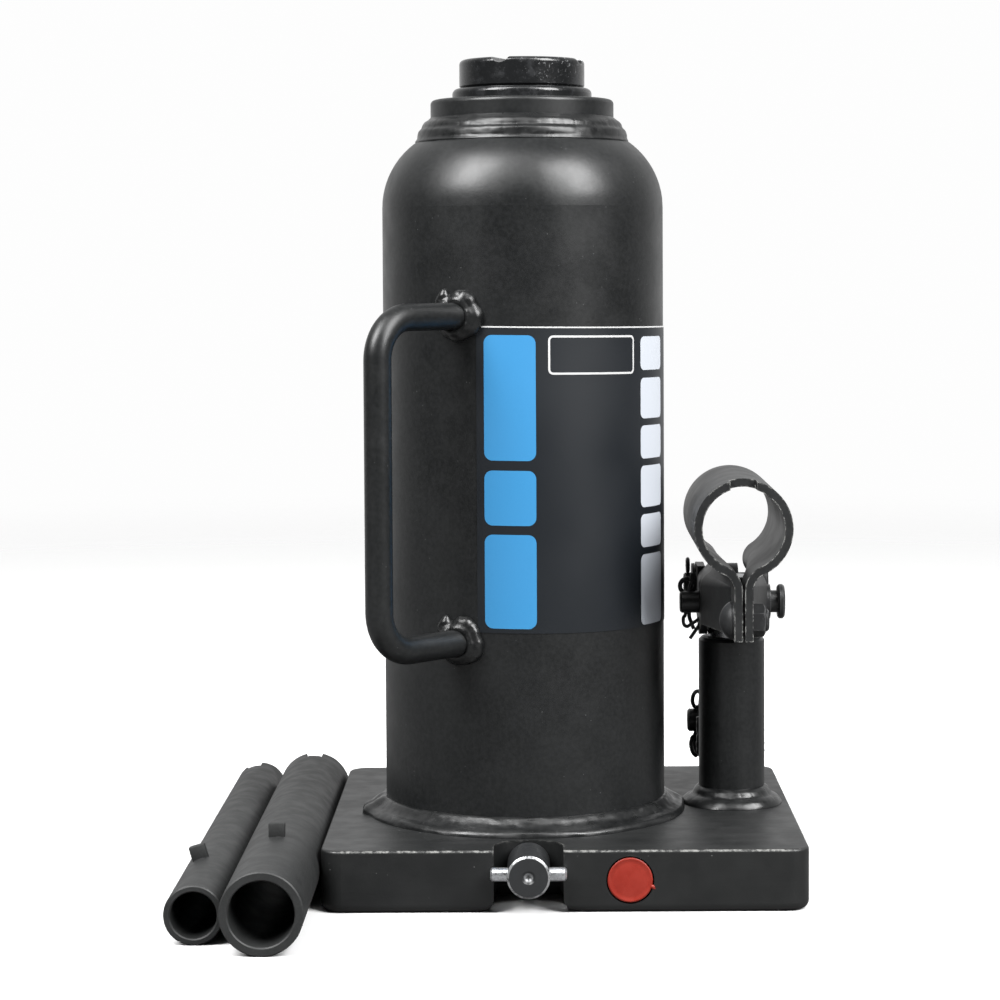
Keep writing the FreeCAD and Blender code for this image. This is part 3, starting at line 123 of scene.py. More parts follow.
# --- node materials -------------------------------------------------------------------------------
class Graph:
    """A node material under construction. Lengths are metres in the object's own coordinates."""

    def __init__(self, name):
        self.material = bpy.data.materials.new(name)
        self.material.use_nodes = True
        self.tree = self.material.node_tree
        self.tree.nodes.clear()
        self.shader = self.add("BsdfPrincipled")
        out = self.add("OutputMaterial")
        self.tree.links.new(self.shader.outputs["BSDF"], out.inputs["Surface"])
        self.place = self.add("TexCoord").outputs["Object"]

    def add(self, kind, inputs=None, **settings):
        node = self.tree.nodes.new("ShaderNode" + kind)
        for key, value in settings.items():
            setattr(node, key, value)
        for key, value in (inputs or {}).items():
            self.feed(node.inputs[key], value)
        return node

    def feed(self, socket, value):
        if isinstance(value, bpy.types.NodeSocket):
            self.tree.links.new(value, socket)
        elif socket.type == "RGBA" and len(value) == 3:
            socket.default_value = (*value, 1.0)
        else:
            socket.default_value = value

    def set(self, **values):
        """Feeds the surface shader; an underscore stands for a space."""
        for key, value in values.items():
            self.feed(self.shader.inputs[key.replace("_", " ")], value)

    def stretched(self, stretch, turn=(0, 0, 0)):
        return self.add("Mapping", {"Vector": self.place, "Scale": stretch, "Rotation": turn}).outputs[0]

    def noise(self, size, detail=3.0, rough=0.55, distort=0.0, stretch=None, turn=(0, 0, 0)):
        place = self.stretched(stretch, turn) if stretch else self.place
        return self.add("TexNoise", {"Vector": place, "Scale": 1 / size, "Detail": detail,
                                     "Roughness": rough, "Distortion": distort}).outputs["Fac"]

    def cells(self, size):
        return self.add("TexVoronoi", {"Vector": self.place, "Scale": 1 / size}).outputs["Distance"]

    def remap(self, value, low, high, to_low=0.0, to_high=1.0):
        return self.add("MapRange", {"Value": value, "From Min": low, "From Max": high,
                                     "To Min": to_low, "To Max": to_high},
                        interpolation_type="SMOOTHSTEP").outputs["Result"]

    def math(self, operation, a, b=0.0):
        node = self.add("Math", operation=operation)
        self.feed(node.inputs[0], a)
        self.feed(node.inputs[1], b)
        return node.outputs[0]

    def times(self, first, *others):
        for other in others:
            first = self.math("MULTIPLY", first, other)
        return first

    def mix(self, factor, a, b):
        node = self.add("Mix", data_type="RGBA")
        self.feed(node.inputs["Factor"], factor)
        self.feed(node.inputs[6], a)
        self.feed(node.inputs[7], b)
        return node.outputs[2]

    def blend(self, factor, a, b):
        """A number between a and b."""
        return self.add("MapRange", {"Value": factor, "To Min": a, "To Max": b}).outputs["Result"]

    def axes(self):
        parts = self.add("SeparateXYZ", {"Vector": self.place})
        return parts.outputs["X"], parts.outputs["Y"], parts.outputs["Z"]

    def bump(self, height, distance):
        inputs = {"Height": height, "Distance": distance, "Strength": 1.0}
        return self.add("Bump", inputs).outputs["Normal"]

    def edges(self, radius, sharp=0.12):
        """1 on convex and concave edges of about that radius, 0 on the faces."""
        soft = self.add("Bevel", {"Radius": radius}, samples=6).outputs["Normal"]
        true = self.add("NewGeometry").outputs["Normal"]
        dot = self.add("VectorMath", operation="DOT_PRODUCT")
        self.feed(dot.inputs[0], soft)
        self.feed(dot.inputs[1], true)
        return self.remap(dot.outputs["Value"], 1.0, 1.0 - sharp)


def orange_peel(g, size=0.9 * MM, depth=0.012 * MM):
    """The fine dimpled skin of a powder coat."""
    fine = g.noise(size, detail=2.0, rough=0.6)
    broad = g.noise(size * 3, detail=2.0)
    height = g.math("ADD", fine, g.times(broad, 0.8))
    return g.bump(height, depth)


def specks(g, size=1.6 * MM, share=0.11):
    """Sparse dust specks, one in a few cells."""
    dot = g.remap(g.cells(size), share, share * 0.5)
    some = g.remap(g.noise(size * 5, detail=1.0), 0.60, 0.66)
    return g.times(dot, some)


def black_paint(name, dark, light, gloss, wear=0.0):
    """A satin powder coat, clouded and dusty; wear is how much of its edges has rubbed through."""
    g = Graph(name)
    cloud = g.remap(g.noise(34 * MM, detail=4.0), 0.32, 0.68)
    colour = g.mix(cloud, dark, light)
    grain = g.remap(g.noise(1.1 * MM, detail=1.0), 0.25, 0.75)
    colour = g.mix(g.times(grain, 0.22), colour, (0.026, 0.027, 0.028))
    colour = g.mix(g.times(specks(g), 0.45), colour, (0.16, 0.165, 0.165))
    if wear:
        broken = g.remap(g.noise(1.2 * MM, detail=5.0, rough=0.7), 0.46, 0.60)
        colour = g.mix(g.times(g.edges(0.7 * MM, 0.16), broken, wear), colour, (0.26, 0.26, 0.25))
    rough = g.remap(g.noise(9 * MM, detail=3.0), 0.3, 0.7, gloss - 0.035, gloss + 0.045)
    g.set(Base_Color=colour, Roughness=rough, Normal=orange_peel(g))
    return g.material


def base_paint():
    """The plate's coat: brushed marks on top, stains beside the pump and chips on the upper edges."""
    g = Graph("base_paint")
    x, y, z = g.axes()
    cloud = g.remap(g.noise(26 * MM, detail=5.0), 0.32, 0.68)
    colour = g.mix(cloud, (0.0045, 0.0050, 0.0052), (0.0080, 0.0086, 0.0086))
    drawn = g.remap(g.noise(2.2 * MM, detail=3.0, stretch=(0.10, 1, 1)), 0.35, 0.75)
    on_top = g.remap(z, BASE_TOP - 0.5 * MM, BASE_TOP - 0.1 * MM)
    colour = g.mix(g.times(drawn, on_top, 0.4), colour, (0.019, 0.020, 0.020))
    stain_x = PUMP.x - 14 * MM
    stain_y = PUMP.y + 16 * MM
    across = g.remap(g.math("ABSOLUTE", g.math("SUBTRACT", x, stain_x)), 15 * MM, 5 * MM)
    along = g.remap(g.math("ABSOLUTE", g.math("SUBTRACT", y, stain_y)), 22 * MM, 6 * MM)
    blots = g.remap(g.noise(3.4 * MM, detail=6.0, rough=0.7), 0.50, 0.60)
    stain = g.times(across, along, blots, on_top)
    colour = g.mix(g.times(stain, 0.9), colour, (0.004, 0.004, 0.004))
    rim = g.edges(0.9 * MM, 0.10)
    broken = g.remap(g.noise(1.3 * MM, detail=4.0, rough=0.7, stretch=(0.35, 1, 1)), 0.44, 0.60)
    upper = g.remap(z, BASE_TOP - 2.0 * MM, BASE_TOP - 0.6 * MM)
    chips = g.times(rim, broken, upper, 0.45)
    front_line = g.times(g.remap(y, BASE_LOW.y + 0.62 * MM, BASE_LOW.y + 0.42 * MM),
                         g.remap(z, BASE_TOP - 0.62 * MM, BASE_TOP - 0.42 * MM))
    worn = g.remap(g.noise(1.6 * MM, detail=5.0, rough=0.7), 0.40, 0.62)
    chips = g.math("MAXIMUM", chips, g.times(front_line, worn))
    colour = g.mix(g.times(chips, 0.8), colour, (0.22, 0.22, 0.21))
    colour = g.mix(g.times(specks(g, 1.5 * MM), 0.5), colour, (0.28, 0.28, 0.28))
    rough = g.remap(g.noise(7 * MM, detail=4.0), 0.3, 0.7, 0.40, 0.50)
    height = g.math("ADD", g.noise(1.0 * MM, detail=3.0), g.times(drawn, 0.8))
    g.set(Base_Color=colour, Roughness=rough, Normal=g.bump(height, 0.018 * MM))
    return g.material


def weld_paint():
    """Paint over a weld bead: glossy, and paler where it has pulled thin."""
    g = Graph("weld_paint")
    cloud = g.remap(g.noise(5 * MM, detail=4.0), 0.3, 0.7)
    colour = g.mix(cloud, (0.0040, 0.0044, 0.0046), (0.0085, 0.0090, 0.0092))
    thin = g.remap(g.noise(2.6 * MM, detail=5.0, rough=0.7), 0.58, 0.76)
    colour = g.mix(g.times(thin, 0.30), colour, (0.12, 0.12, 0.12))
    rough = g.remap(g.noise(3 * MM, detail=3.0), 0.3, 0.7, 0.27, 0.42)
    height = g.math("ADD", g.noise(1.8 * MM, detail=4.0, rough=0.6), g.times(g.noise(0.5 * MM), 0.15))
    g.set(Base_Color=colour, Roughness=rough, Normal=g.bump(height, 0.03 * MM))
    return g.material


def grey_paint():
    """The matt, slightly sandy coat of the two handle tubes."""
    g = Graph("grey_paint")
    cloud = g.remap(g.noise(20 * MM, detail=4.0), 0.3, 0.7)
    colour = g.mix(cloud, (0.0095, 0.0103, 0.0103), (0.0135, 0.0143, 0.0143))
    grain = g.remap(g.noise(0.55 * MM, detail=2.0), 0.35, 0.75)
    colour = g.mix(g.times(grain, 0.4), colour, (0.027, 0.028, 0.028))
    worn = g.times(g.edges(0.4 * MM, 0.25), g.remap(g.noise(1.4 * MM, detail=4.0), 0.42, 0.62))
    colour = g.mix(g.times(worn, 0.4), colour, (0.12, 0.12, 0.12))
    rough = g.remap(g.noise(5 * MM), 0.3, 0.7, 0.50, 0.62)
    g.set(Base_Color=colour, Roughness=rough, Normal=orange_peel(g, 0.55 * MM, 0.016 * MM))
    return g.material


GLOSS_BLACK = (0.0090, 0.0095, 0.0100)
BARE_STEEL = (0.62, 0.63, 0.64)


def bare_or_black(name, chips, black=GLOSS_BLACK, gloss=0.20, bare=BARE_STEEL):
    """Glossy black over steel, with the steel bare where chips(g) is 1; on the knob that bare steel also
    makes a painted reflection in its dimple.
    """
    g = Graph(name)
    mask = chips(g)
    haze = g.remap(g.noise(3.5 * MM, detail=5.0, rough=0.65), 0.45, 0.72)
    dark = g.mix(g.times(haze, 0.6), black, (0.020, 0.021, 0.023))
    g.set(Base_Color=g.mix(mask, dark, bare), Metallic=mask)
    rough = g.blend(haze, gloss, gloss + 0.16)
    g.set(Roughness=g.blend(mask, rough, 0.32))
    height = g.math("SUBTRACT", g.noise(0.8 * MM, detail=4.0), g.times(mask, 0.8))
    g.set(Normal=g.bump(height, 0.03 * MM))
    return g.material


def saddle_chips(g):
    """Chips on the upper rim and a scatter of scratches, crowded right of the front."""
    low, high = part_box("saddle")
    centre = mid("saddle")
    x, _, z = g.axes()
    near_top = g.remap(z, low.z + 4.0 * MM, high.z - 0.2 * MM)
    right = g.remap(g.math("SUBTRACT", x, centre.x), -3.0 * MM, 6.0 * MM)
    patches = g.remap(g.noise(7 * MM, detail=2.0), 0.44, 0.58)
    rim = g.times(g.edges(0.8 * MM, 0.22), g.remap(g.noise(1.5 * MM, detail=5.0, rough=0.7), 0.42, 0.56))
    rim = g.times(rim, near_top, g.math("MAXIMUM", patches, g.times(right, 0.55)))
    fine = g.remap(g.noise(0.8 * MM, detail=6.0, rough=0.75, distort=0.6), 0.60, 0.66)
    scatter = g.times(fine, g.blend(right, 0.10, 0.62), g.blend(near_top, 0.35, 1.0))
    lines = g.remap(g.noise(1.3 * MM, detail=3.0, stretch=(1, 1, 0.14)), 0.67, 0.72)
    scatter = g.math("MAXIMUM", scatter, g.times(lines, right, 0.5))
    return g.math("MAXIMUM", rim, scatter)


def ram_chips(g):
    """A rubbed upper edge and fine marks drawn along the ram."""
    rim = g.times(g.edges(0.8 * MM, 0.3), g.remap(g.noise(2.5 * MM, detail=4.0), 0.50, 0.66))
    drawn = g.remap(g.noise(1.2 * MM, detail=3.0, stretch=(1, 1, 0.05)), 0.70, 0.80)
    return g.math("MAXIMUM", g.times(rim, 0.6), g.times(drawn, 0.25))


def worn_edges(g):
    """Edges rubbed bright in places, and a few scratches."""
    broken = g.remap(g.noise(1.1 * MM, detail=5.0, rough=0.7), 0.34, 0.58)
    scratches = g.remap(g.noise(0.9 * MM, detail=4.0, stretch=(1, 0.2, 1), turn=(0.4, 0, 0.6)), 0.68, 0.76)
    return g.math("MAXIMUM", g.times(g.edges(0.4 * MM, 0.22), broken, 0.75), g.times(scratches, 0.35))


def knob_chips_and_glint(g):
    """The knob's turned chamfer is bright all round, its face only scratched, and a bare-steel spot in its
    dimple is a painted reflection.
    """
    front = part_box("release_spindle")[0].y
    centre = mid("release_spindle")
    knob_r = half_width("release_spindle")
    x, y, z = g.axes()
    dx = g.math("SUBTRACT", x, centre.x)
    dz = g.math("SUBTRACT", z, centre.z)
    radius = g.math("SQRT", g.math("ADD", g.times(dx, dx), g.times(dz, dz)))
    ring = g.remap(radius, knob_r - 0.62 * MM, knob_r - 0.45 * MM)
    ring = g.times(ring, g.remap(y, front + 0.75 * MM, front + 0.45 * MM))
    ring = g.times(ring, g.remap(g.noise(1.2 * MM, detail=5.0, rough=0.7), 0.34, 0.54), 0.75)
    # a bare-steel spot in the middle of the dimple: a painted reflection
    dimple = g.times(g.remap(radius, 2.0 * MM, 1.6 * MM), g.remap(y, front + 0.4 * MM, front + 1.0 * MM))
    face = g.remap(g.noise(0.8 * MM, detail=6.0, rough=0.75), 0.66, 0.74)
    return g.math("MAXIMUM", g.math("MAXIMUM", ring, g.times(dimple, 0.8)), g.times(face, 0.3))


def zinc_steel():
    """Bright zinc plate with dark scratches."""
    g = Graph("zinc_steel")
    cloud = g.remap(g.noise(1.8 * MM, detail=5.0, rough=0.7), 0.35, 0.65)
    colour = g.mix(cloud, (0.55, 0.56, 0.58), (0.88, 0.89, 0.91))
    scratched = g.remap(g.noise(0.7 * MM, detail=4.0, stretch=(1, 0.25, 1), turn=(0, 0.6, 0.3)), 0.62, 0.70)
    colour = g.mix(g.times(scratched, 0.8), colour, (0.05, 0.05, 0.05))
    rough = g.blend(cloud, 0.42, 0.26)
    g.set(Base_Color=colour, Metallic=1.0, Roughness=rough, Normal=g.bump(cloud, 0.04 * MM))
    return g.material


def ground_steel():
    """Turned or ground steel with fine marks round it and a film of oil."""
    g = Graph("ground_steel")
    marks = g.noise(0.35 * MM, detail=3.0, stretch=(0.3, 0.3, 2.0))
    oil = g.remap(g.noise(7 * MM, detail=4.0), 0.35, 0.7)
    g.set(Base_Color=g.mix(oil, (0.55, 0.56, 0.57), (0.341, 0.3472, 0.3534)), Metallic=1.0)
    g.set(Roughness=g.blend(oil, 0.24, 0.38), Normal=g.bump(marks, 0.010 * MM))
    return g.material


def soft_metal():
    """Dull warm metal for the gaskets."""
    g = Graph("soft_metal")
    cloud = g.remap(g.noise(1.5 * MM, detail=4.0), 0.3, 0.7)
    g.set(Base_Color=g.mix(cloud, (0.52, 0.49, 0.42), (0.72, 0.68, 0.60)), Metallic=1.0)
    g.set(Roughness=g.blend(cloud, 0.35, 0.5), Normal=g.bump(cloud, 0.02 * MM))
    return g.material


def rubber():
    """Black seal rubber."""
    g = Graph("rubber")
    cloud = g.remap(g.noise(2 * MM, detail=4.0), 0.3, 0.7)
    g.set(Base_Color=g.mix(cloud, (0.010, 0.010, 0.010), (0.026, 0.026, 0.025)))
    g.set(Roughness=g.blend(cloud, 0.45, 0.62), Normal=g.bump(g.noise(0.4 * MM), 0.02 * MM))
    return g.material


def nylon():
    """Cream guide-ring plastic."""
    g = Graph("nylon")
    cloud = g.remap(g.noise(3 * MM, detail=3.0), 0.3, 0.7)
    g.set(Base_Color=g.mix(cloud, (0.66, 0.62, 0.50), (0.76, 0.73, 0.62)))
    g.set(Roughness=0.45, Normal=g.bump(g.noise(0.5 * MM), 0.01 * MM))
    return g.material


def red_plastic():
    """Moulded plastic, a little mottled, with a fine grain."""
    g = Graph("red_plastic")
    cloud = g.remap(g.noise(2.4 * MM, detail=4.0), 0.3, 0.7)
    colour = g.mix(cloud, (0.222, 0.0125, 0.0045), (0.256, 0.0165, 0.0065))
    worn = g.remap(g.noise(0.7 * MM, detail=4.0, rough=0.7), 0.62, 0.72)
    colour = g.mix(g.times(worn, 0.30), colour, (0.36, 0.07, 0.045))
    grain = g.bump(g.noise(0.35 * MM), 0.02 * MM)
    g.set(Base_Color=colour, Roughness=g.blend(cloud, 0.42, 0.55), Normal=grain)
    return g.material


def film(name, colour, deep):
    """Printed plastic film: a faintly mottled ink with a satin face."""
    g = Graph(name)
    ink = g.remap(g.noise(0.5 * MM, detail=2.0), 0.3, 0.7)
    shade = g.remap(g.noise(40 * MM, detail=2.0), 0.3, 0.7)
    tone = g.mix(g.times(ink, 0.25), colour, deep)
    tone = g.mix(g.times(shade, 0.25), tone, deep)
    g.set(Base_Color=tone, Roughness=g.blend(shade, 0.40, 0.50))
    g.set(Normal=g.bump(g.noise(6 * MM, detail=2.0), 0.02 * MM))
    return g.material


# --- mesh building --------------------------------------------------------------------------------
def finish_piece(name, mesh, body, materials, replaced=()):
    """Puts a mesh in the scene on its body, in place of the CAD nodes that it replaces."""
    mesh.validate()
    piece = bpy.data.objects.new(name, mesh)
    bpy.context.scene.collection.objects.link(piece)
    for made in materials:
        mesh.materials.append(made)
    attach(piece, body)
    if replaced:
        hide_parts(*replaced)


def mesh_of(name, points, faces):
    mesh = bpy.data.meshes.new(name)
    mesh.from_pydata([tuple(p) for p in points], [], faces)
    mesh.shade_smooth()
    return mesh


def grid_faces(rows, columns, closed_rows, closed_columns):
    """Quads over a grid of points, row by row."""
    faces = []
    for i in range(rows if closed_rows else rows - 1):
        for j in range(columns if closed_columns else columns - 1):
            a = i * columns + j
            b = i * columns + (j + 1) % columns
            c = ((i + 1) % rows) * columns + (j + 1) % columns
            d = ((i + 1) % rows) * columns + j
            faces.append((a, b, c, d))
    return faces


def ring_of_sections(name, centre, steps, section):
    """A closed ring about a vertical axis; section(turn) gives its (radius, height) loop there."""
    points = []
    columns = 0
    for i in range(steps):
        turn = 2 * math.pi * i / steps
        loop = section(turn)
        columns = len(loop)
        for radius, height in loop:
            points.append(centre + Vector((radius * math.cos(turn), radius * math.sin(turn), height)))
    return mesh_of(name, points, grid_faces(steps, columns, True, True))


def around(turn, radius, wave, offset=0.0):
    """Smooth noise along a circle, from -1 to 1, with waves of a given length."""
    reach = radius / wave
    place = (math.cos(turn) * reach + offset, math.sin(turn) * reach - offset, offset * 0.7)
    return noise.noise(Vector(place))


def through(corners, parts=8):
    """Points on a Catmull-Rom curve through the corners, with so many parts to each span."""
    path = []
    ends = [corners[0] * 2 - corners[1]] + list(corners) + [corners[-1] * 2 - corners[-2]]
    for a, b, c, d in zip(ends, ends[1:], ends[2:], ends[3:]):
        for i in range(parts):
            t = i / parts
            path.append(0.5 * (2 * b + (c - a) * t + (2 * a - 5 * b + 4 * c - d) * t * t
                               + (3 * b - a - 3 * c + d) * t * t * t))
    path.append(corners[-1])
    return path


def ripple(travel, across, pitch):
    """The crescent steps of a weld bead, each of which overlaps the last; across runs from -1 to 1."""
    phase = (travel / pitch + 0.55 * across * across) % 1.0
    return math.sqrt(phase) * (1 - phase ** 6)


def bead(name, centre, inner, profile, pitch, depth, sway, seed, lumps=()):
    """A weld round a cylinder, from the toe up to the wall.

    profile holds (distance from the wall, height) in millimetres; pitch and depth are those of its
    ripples, and sway is how far it wanders. Lumps are (degrees, width, extra) where a run starts or stops.
    """
    last = len(profile) - 1
    bite = 0.02 * MM         # the bead's edge is just inside the wall, and its back is further in
    back = 0.5 * MM
    under = 0.3 * MM

    def section(turn):
        swell = 0.0
        for degrees, width, extra in lumps:
            apart = math.remainder(turn - math.radians(degrees), 2 * math.pi) * inner
            swell += extra * math.exp(-(apart / width) ** 2)
        corners = []
        for j, (out, up) in enumerate(profile):
            t = j / last
            hump = math.sin(math.pi * t)
            wander = sway * (around(turn, inner, 10 * MM, seed + j * 0.31)
                             + 0.5 * around(turn, inner, 3.2 * MM, seed + j * 0.47))
            step = depth * ripple(turn * inner, 2 * t - 1, pitch) * hump
            far = out * MM + wander * (1 - t * 0.8) + step + swell * (1 - t) + 0.5 * swell * hump
            tall = up * MM + wander * (0.2 + 0.8 * t) * (t > 0) + step * 0.7 + 0.5 * swell * hump
            corners.append(Vector((inner + far if j < last else inner - bite, tall)))
        loop = [tuple(point) for point in through(corners, 4)]
        loop.append((inner - back, loop[-1][1] - 0.2 * MM))
        loop.append((inner - back, -under))
        loop.append((loop[0][0] - 0.2 * MM, -under))
        return loop

    return ring_of_sections(name, centre, 720, section)


def tube_mesh(name, path, radius, sides=10):
    """A round wire along a list of points."""
    count = len(path)
    points = []
    normal = None
    for i, here in enumerate(path):
        before = path[max(i - 1, 0)]
        after = path[min(i + 1, count - 1)]
        along = (after - before).normalized()
        if normal is None:
            normal = along.orthogonal().normalized()
        normal = (normal - along * normal.dot(along)).normalized()
        side = along.cross(normal)
        for j in range(sides):
            turn = 2 * math.pi * j / sides
            points.append(here + (normal * math.cos(turn) + side * math.sin(turn)) * radius)
    faces = grid_faces(count, sides, False, True)
    faces.append(tuple(range(sides - 1, -1, -1)))
    faces.append(tuple(range((count - 1) * sides, count * sides)))
    return mesh_of(name, points, faces)


def joined(name, meshes):
    """One mesh out of several."""
    whole = bmesh.new()
    for mesh in meshes:
        whole.from_mesh(mesh)
        bpy.data.meshes.remove(mesh)
    mesh = bpy.data.meshes.new(name)
    whole.to_mesh(mesh)
    whole.free()
    return mesh


def lathe(name, outline, steps=96, turn=Matrix.Identity(4)):
    """A solid of revolution about Z from (radius, height) points, stood up by a matrix."""
    points = []
    for i in range(steps):
        a = 2 * math.pi * i / steps
        for radius, height in outline:
            points.append(turn @ Vector((radius * math.cos(a), radius * math.sin(a), height)))
    mesh = mesh_of(name, points, grid_faces(steps, len(outline), True, False))
    whole = bmesh.new()
    whole.from_mesh(mesh)
    bmesh.ops.remove_doubles(whole, verts=whole.verts, dist=1e-7)
    bmesh.ops.recalc_face_normals(whole, faces=whole.faces)
    whole.to_mesh(mesh)
    whole.free()
    return mesh


def lobes(name, balls, voxel=0.35 * MM, wobble=0.15 * MM):
    """Blobs run together: overlapping balls, remeshed to one skin, smoothed and roughened."""
    parts = []
    for centre, radius in balls:
        ball = bmesh.new()
        bmesh.ops.create_icosphere(ball, subdivisions=3, radius=radius)
        bmesh.ops.translate(ball, verts=ball.verts, vec=centre)
        mesh = bpy.data.meshes.new("ball")
        ball.to_mesh(mesh)
        ball.free()
        parts.append(mesh)
    rough = bpy.data.objects.new("rough", joined("rough", parts))
    bpy.context.scene.collection.objects.link(rough)
    skin = rough.modifiers.new("skin", "REMESH")
    skin.mode = "VOXEL"
    skin.voxel_size = voxel
    even = rough.modifiers.new("even", "SMOOTH")
    even.iterations = 8
    made = bpy.data.meshes.new_from_object(rough.evaluated_get(bpy.context.evaluated_depsgraph_get()))
    bpy.data.objects.remove(rough)
    made.name = name
    for vertex in made.vertices:
        wave = noise.noise(vertex.co / (2.4 * MM)) + 0.5 * noise.noise(vertex.co / (1.1 * MM))
        vertex.co += vertex.normal * wobble * wave
    made.shade_smooth()
    return made


# --- weld beads -----------------------------------------------------------------------------------
def make_tank_weld(paint):
    """A broad flat run round the tank's foot, with the blob where it starts and stops at the left."""
    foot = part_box("tank_weld")[0].z
    profile = ((5.6, 0), (5.35, 0.75), (4.7, 1.4), (3.7, 1.85), (2.8, 2.25), (2.0, 2.9), (1.3, 3.7),
               (0.7, 4.35), (0, 4.6))
    lumps = ((FRONT - 80, 2.6 * MM, 1.3 * MM), (FRONT - 88, 1.6 * MM, 0.9 * MM),
             (FRONT + 99, 4.0 * MM, 0.7 * MM), (FRONT - 22, 6.0 * MM, 0.3 * MM),
             (FRONT + 24, 8.0 * MM, 0.35 * MM))
    mesh = bead("tank_weld_bead", Vector((0, 0, foot)), TANK_R, profile, pitch=3.2 * MM, depth=0.045 * MM,
                sway=0.22 * MM, seed=3.0, lumps=lumps)
    finish_piece("tank_weld_bead", mesh, "root", [paint], ("tank_weld",))


def make_pump_weld(paint):
    """Two runs round the pump's foot: a wide low one and a narrow one on top of it."""
    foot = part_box("pump_weld")[0].z
    profile = ((5.0, 0), (4.6, 0.7), (3.8, 1.6), (2.9, 2.2), (2.2, 2.5), (1.7, 3.0), (1.2, 3.9),
               (0.5, 4.6), (0, 4.9))
    lumps = ((FRONT + 36, 4.5 * MM, 0.5 * MM), (FRONT - 30, 4.0 * MM, 0.3 * MM))
    mesh = bead("pump_weld_bead", Vector((PUMP.x, PUMP.y, foot)), PUMP_R, profile, pitch=2.8 * MM,
                depth=0.07 * MM, sway=0.20 * MM, seed=11.0, lumps=lumps)
    finish_piece("pump_weld_bead", mesh, "root", [paint], ("pump_weld",))


def make_top_weld(paint):
    """Two runs melted together in the corner between the tank's shoulder and the nut."""
    low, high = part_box("top_weld")
    foot = low.z
    wide = (high.x - NUT_R) / MM
    tall = (high.z - foot) / MM
    profile = ((wide + 0.1, 0.05), (wide - 0.35, 0.8), (wide - 0.5, 1.7), (wide - 0.8, 2.8),
               (wide - 1.6, 3.6), (wide - 1.95, 4.5), (wide - 2.5, 5.3), (wide - 3.4, 6.0), (0, tall - 0.2))
    mesh = bead("top_weld_bead", Vector((0, 0, foot)), NUT_R, profile, pitch=3.0 * MM, depth=0.05 * MM,
                sway=0.20 * MM, seed=5.0)
    finish_piece("top_weld_bead", mesh, "root", [paint], ("top_weld",))


CREASE_AT = -22          # degrees round the bar, from straight up, of the crease in its collar of weld
FLAP_BALLS = ((4, 5.2, 1.9), (20, 5.4, 2.0), (38, 5.3, 1.8), (-40, 6.6, 1.7), (-52, 6.4, 1.6),
              (-34, 7.4, 1.2), (112, 5.2, 1.5))        # degrees, reach and radius in millimetres


def make_handle_welds(paint):
    """A collar of weld round each end of the carrying handle's bar, with a flap of it behind."""
    grip_low, grip_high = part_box("carry_handle")
    turn = math.radians(-GRIP_TURN)
    lean = math.radians(-GRIP_LEAN)
    out = Vector((math.sin(turn), -math.cos(turn), 0))
    side = Vector((math.cos(turn), math.sin(turn), 0))
    bar = Vector((math.sin(lean), -math.cos(lean), 0))
    up = Vector((0, 0, 1))
    meshes = []
    for level, seed in ((grip_high.z - GRIP_R, 2.0), (grip_low.z + GRIP_R, 8.0)):
        root = out * TANK_R + up * level
        balls = []
        for degrees in range(-180, 180, 8):
            a = math.radians(degrees)
            swell = noise.noise(Vector((math.cos(a) * 1.6, math.sin(a) * 1.6, seed)))
            in_crease = math.exp(-((degrees - CREASE_AT) / 9) ** 2)
            reach = GRIP_R + 1.0 * MM + 0.5 * MM * swell
            radial = side * math.sin(a) + up * math.cos(a)
            drop = (reach * math.sin(a)) ** 2 / (2 * TANK_R)
            spot = root + radial * reach - out * (drop + 0.6 * MM * in_crease)
            balls.append((spot + out * 0.3 * MM, (2.0 + 0.5 * swell - 0.7 * in_crease) * MM))
            if abs(degrees - CREASE_AT) > 14:
                balls.append((spot + bar * 1.9 * MM - radial * 0.5 * MM, (1.25 + 0.3 * swell) * MM))
        for degrees, reach, radius in FLAP_BALLS:
            a = math.radians(degrees)
            radial = side * math.sin(a) + up * math.cos(a)
            balls.append((root + radial * reach * MM + out * 0.4 * MM, radius * MM))
        meshes.append(lobes("blob", balls))
    finish_piece("handle_weld_blobs", joined("handle_weld_blobs", meshes), "root", [paint],
                 ("handle_welds",))


def make_bracket_welds(paint):
    """A short vertical bead down each side of the fulcrum bracket, against the pump cylinder."""
    low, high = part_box("fulcrum_bracket")
    half = (high.x - low.x) / 2
    y = PUMP.y + math.sqrt(max(PUMP_R ** 2 - half ** 2, 0)) + 0.6 * MM
    end_gap = 4 * MM
    steps = 60
    meshes = []
    for side in (-1, 1):
        path = []
        for i in range(steps + 1):
            z = low.z + end_gap + (high.z - low.z - 2 * end_gap) * i / steps
            sway = 0.25 * MM * noise.noise(Vector((z / (3 * MM), side * 5, 0)))
            path.append(Vector((PUMP.x + side * (half + 0.1 * MM) + sway, y, z)))
        mesh = tube_mesh("bead", path, 1.4 * MM, sides=12)
        for vertex in mesh.vertices:
            vertex.co.x += side * 0.2 * MM * ripple(vertex.co.z, 0, 1.9 * MM)
        meshes.append(mesh)
    finish_piece("bracket_weld_beads", joined("bracket_weld_beads", meshes), "root", [paint])


# --- label ----------------------------------------------------------------------------------------
def wrapped(degrees, level, radius):
    """A point on the tank's wall, by its turn from straight ahead towards +X."""
    turn = math.radians(degrees)
    drop = LABEL_TILT * turn * radius
    return Vector((radius * math.sin(turn), -radius * math.cos(turn), level - drop))


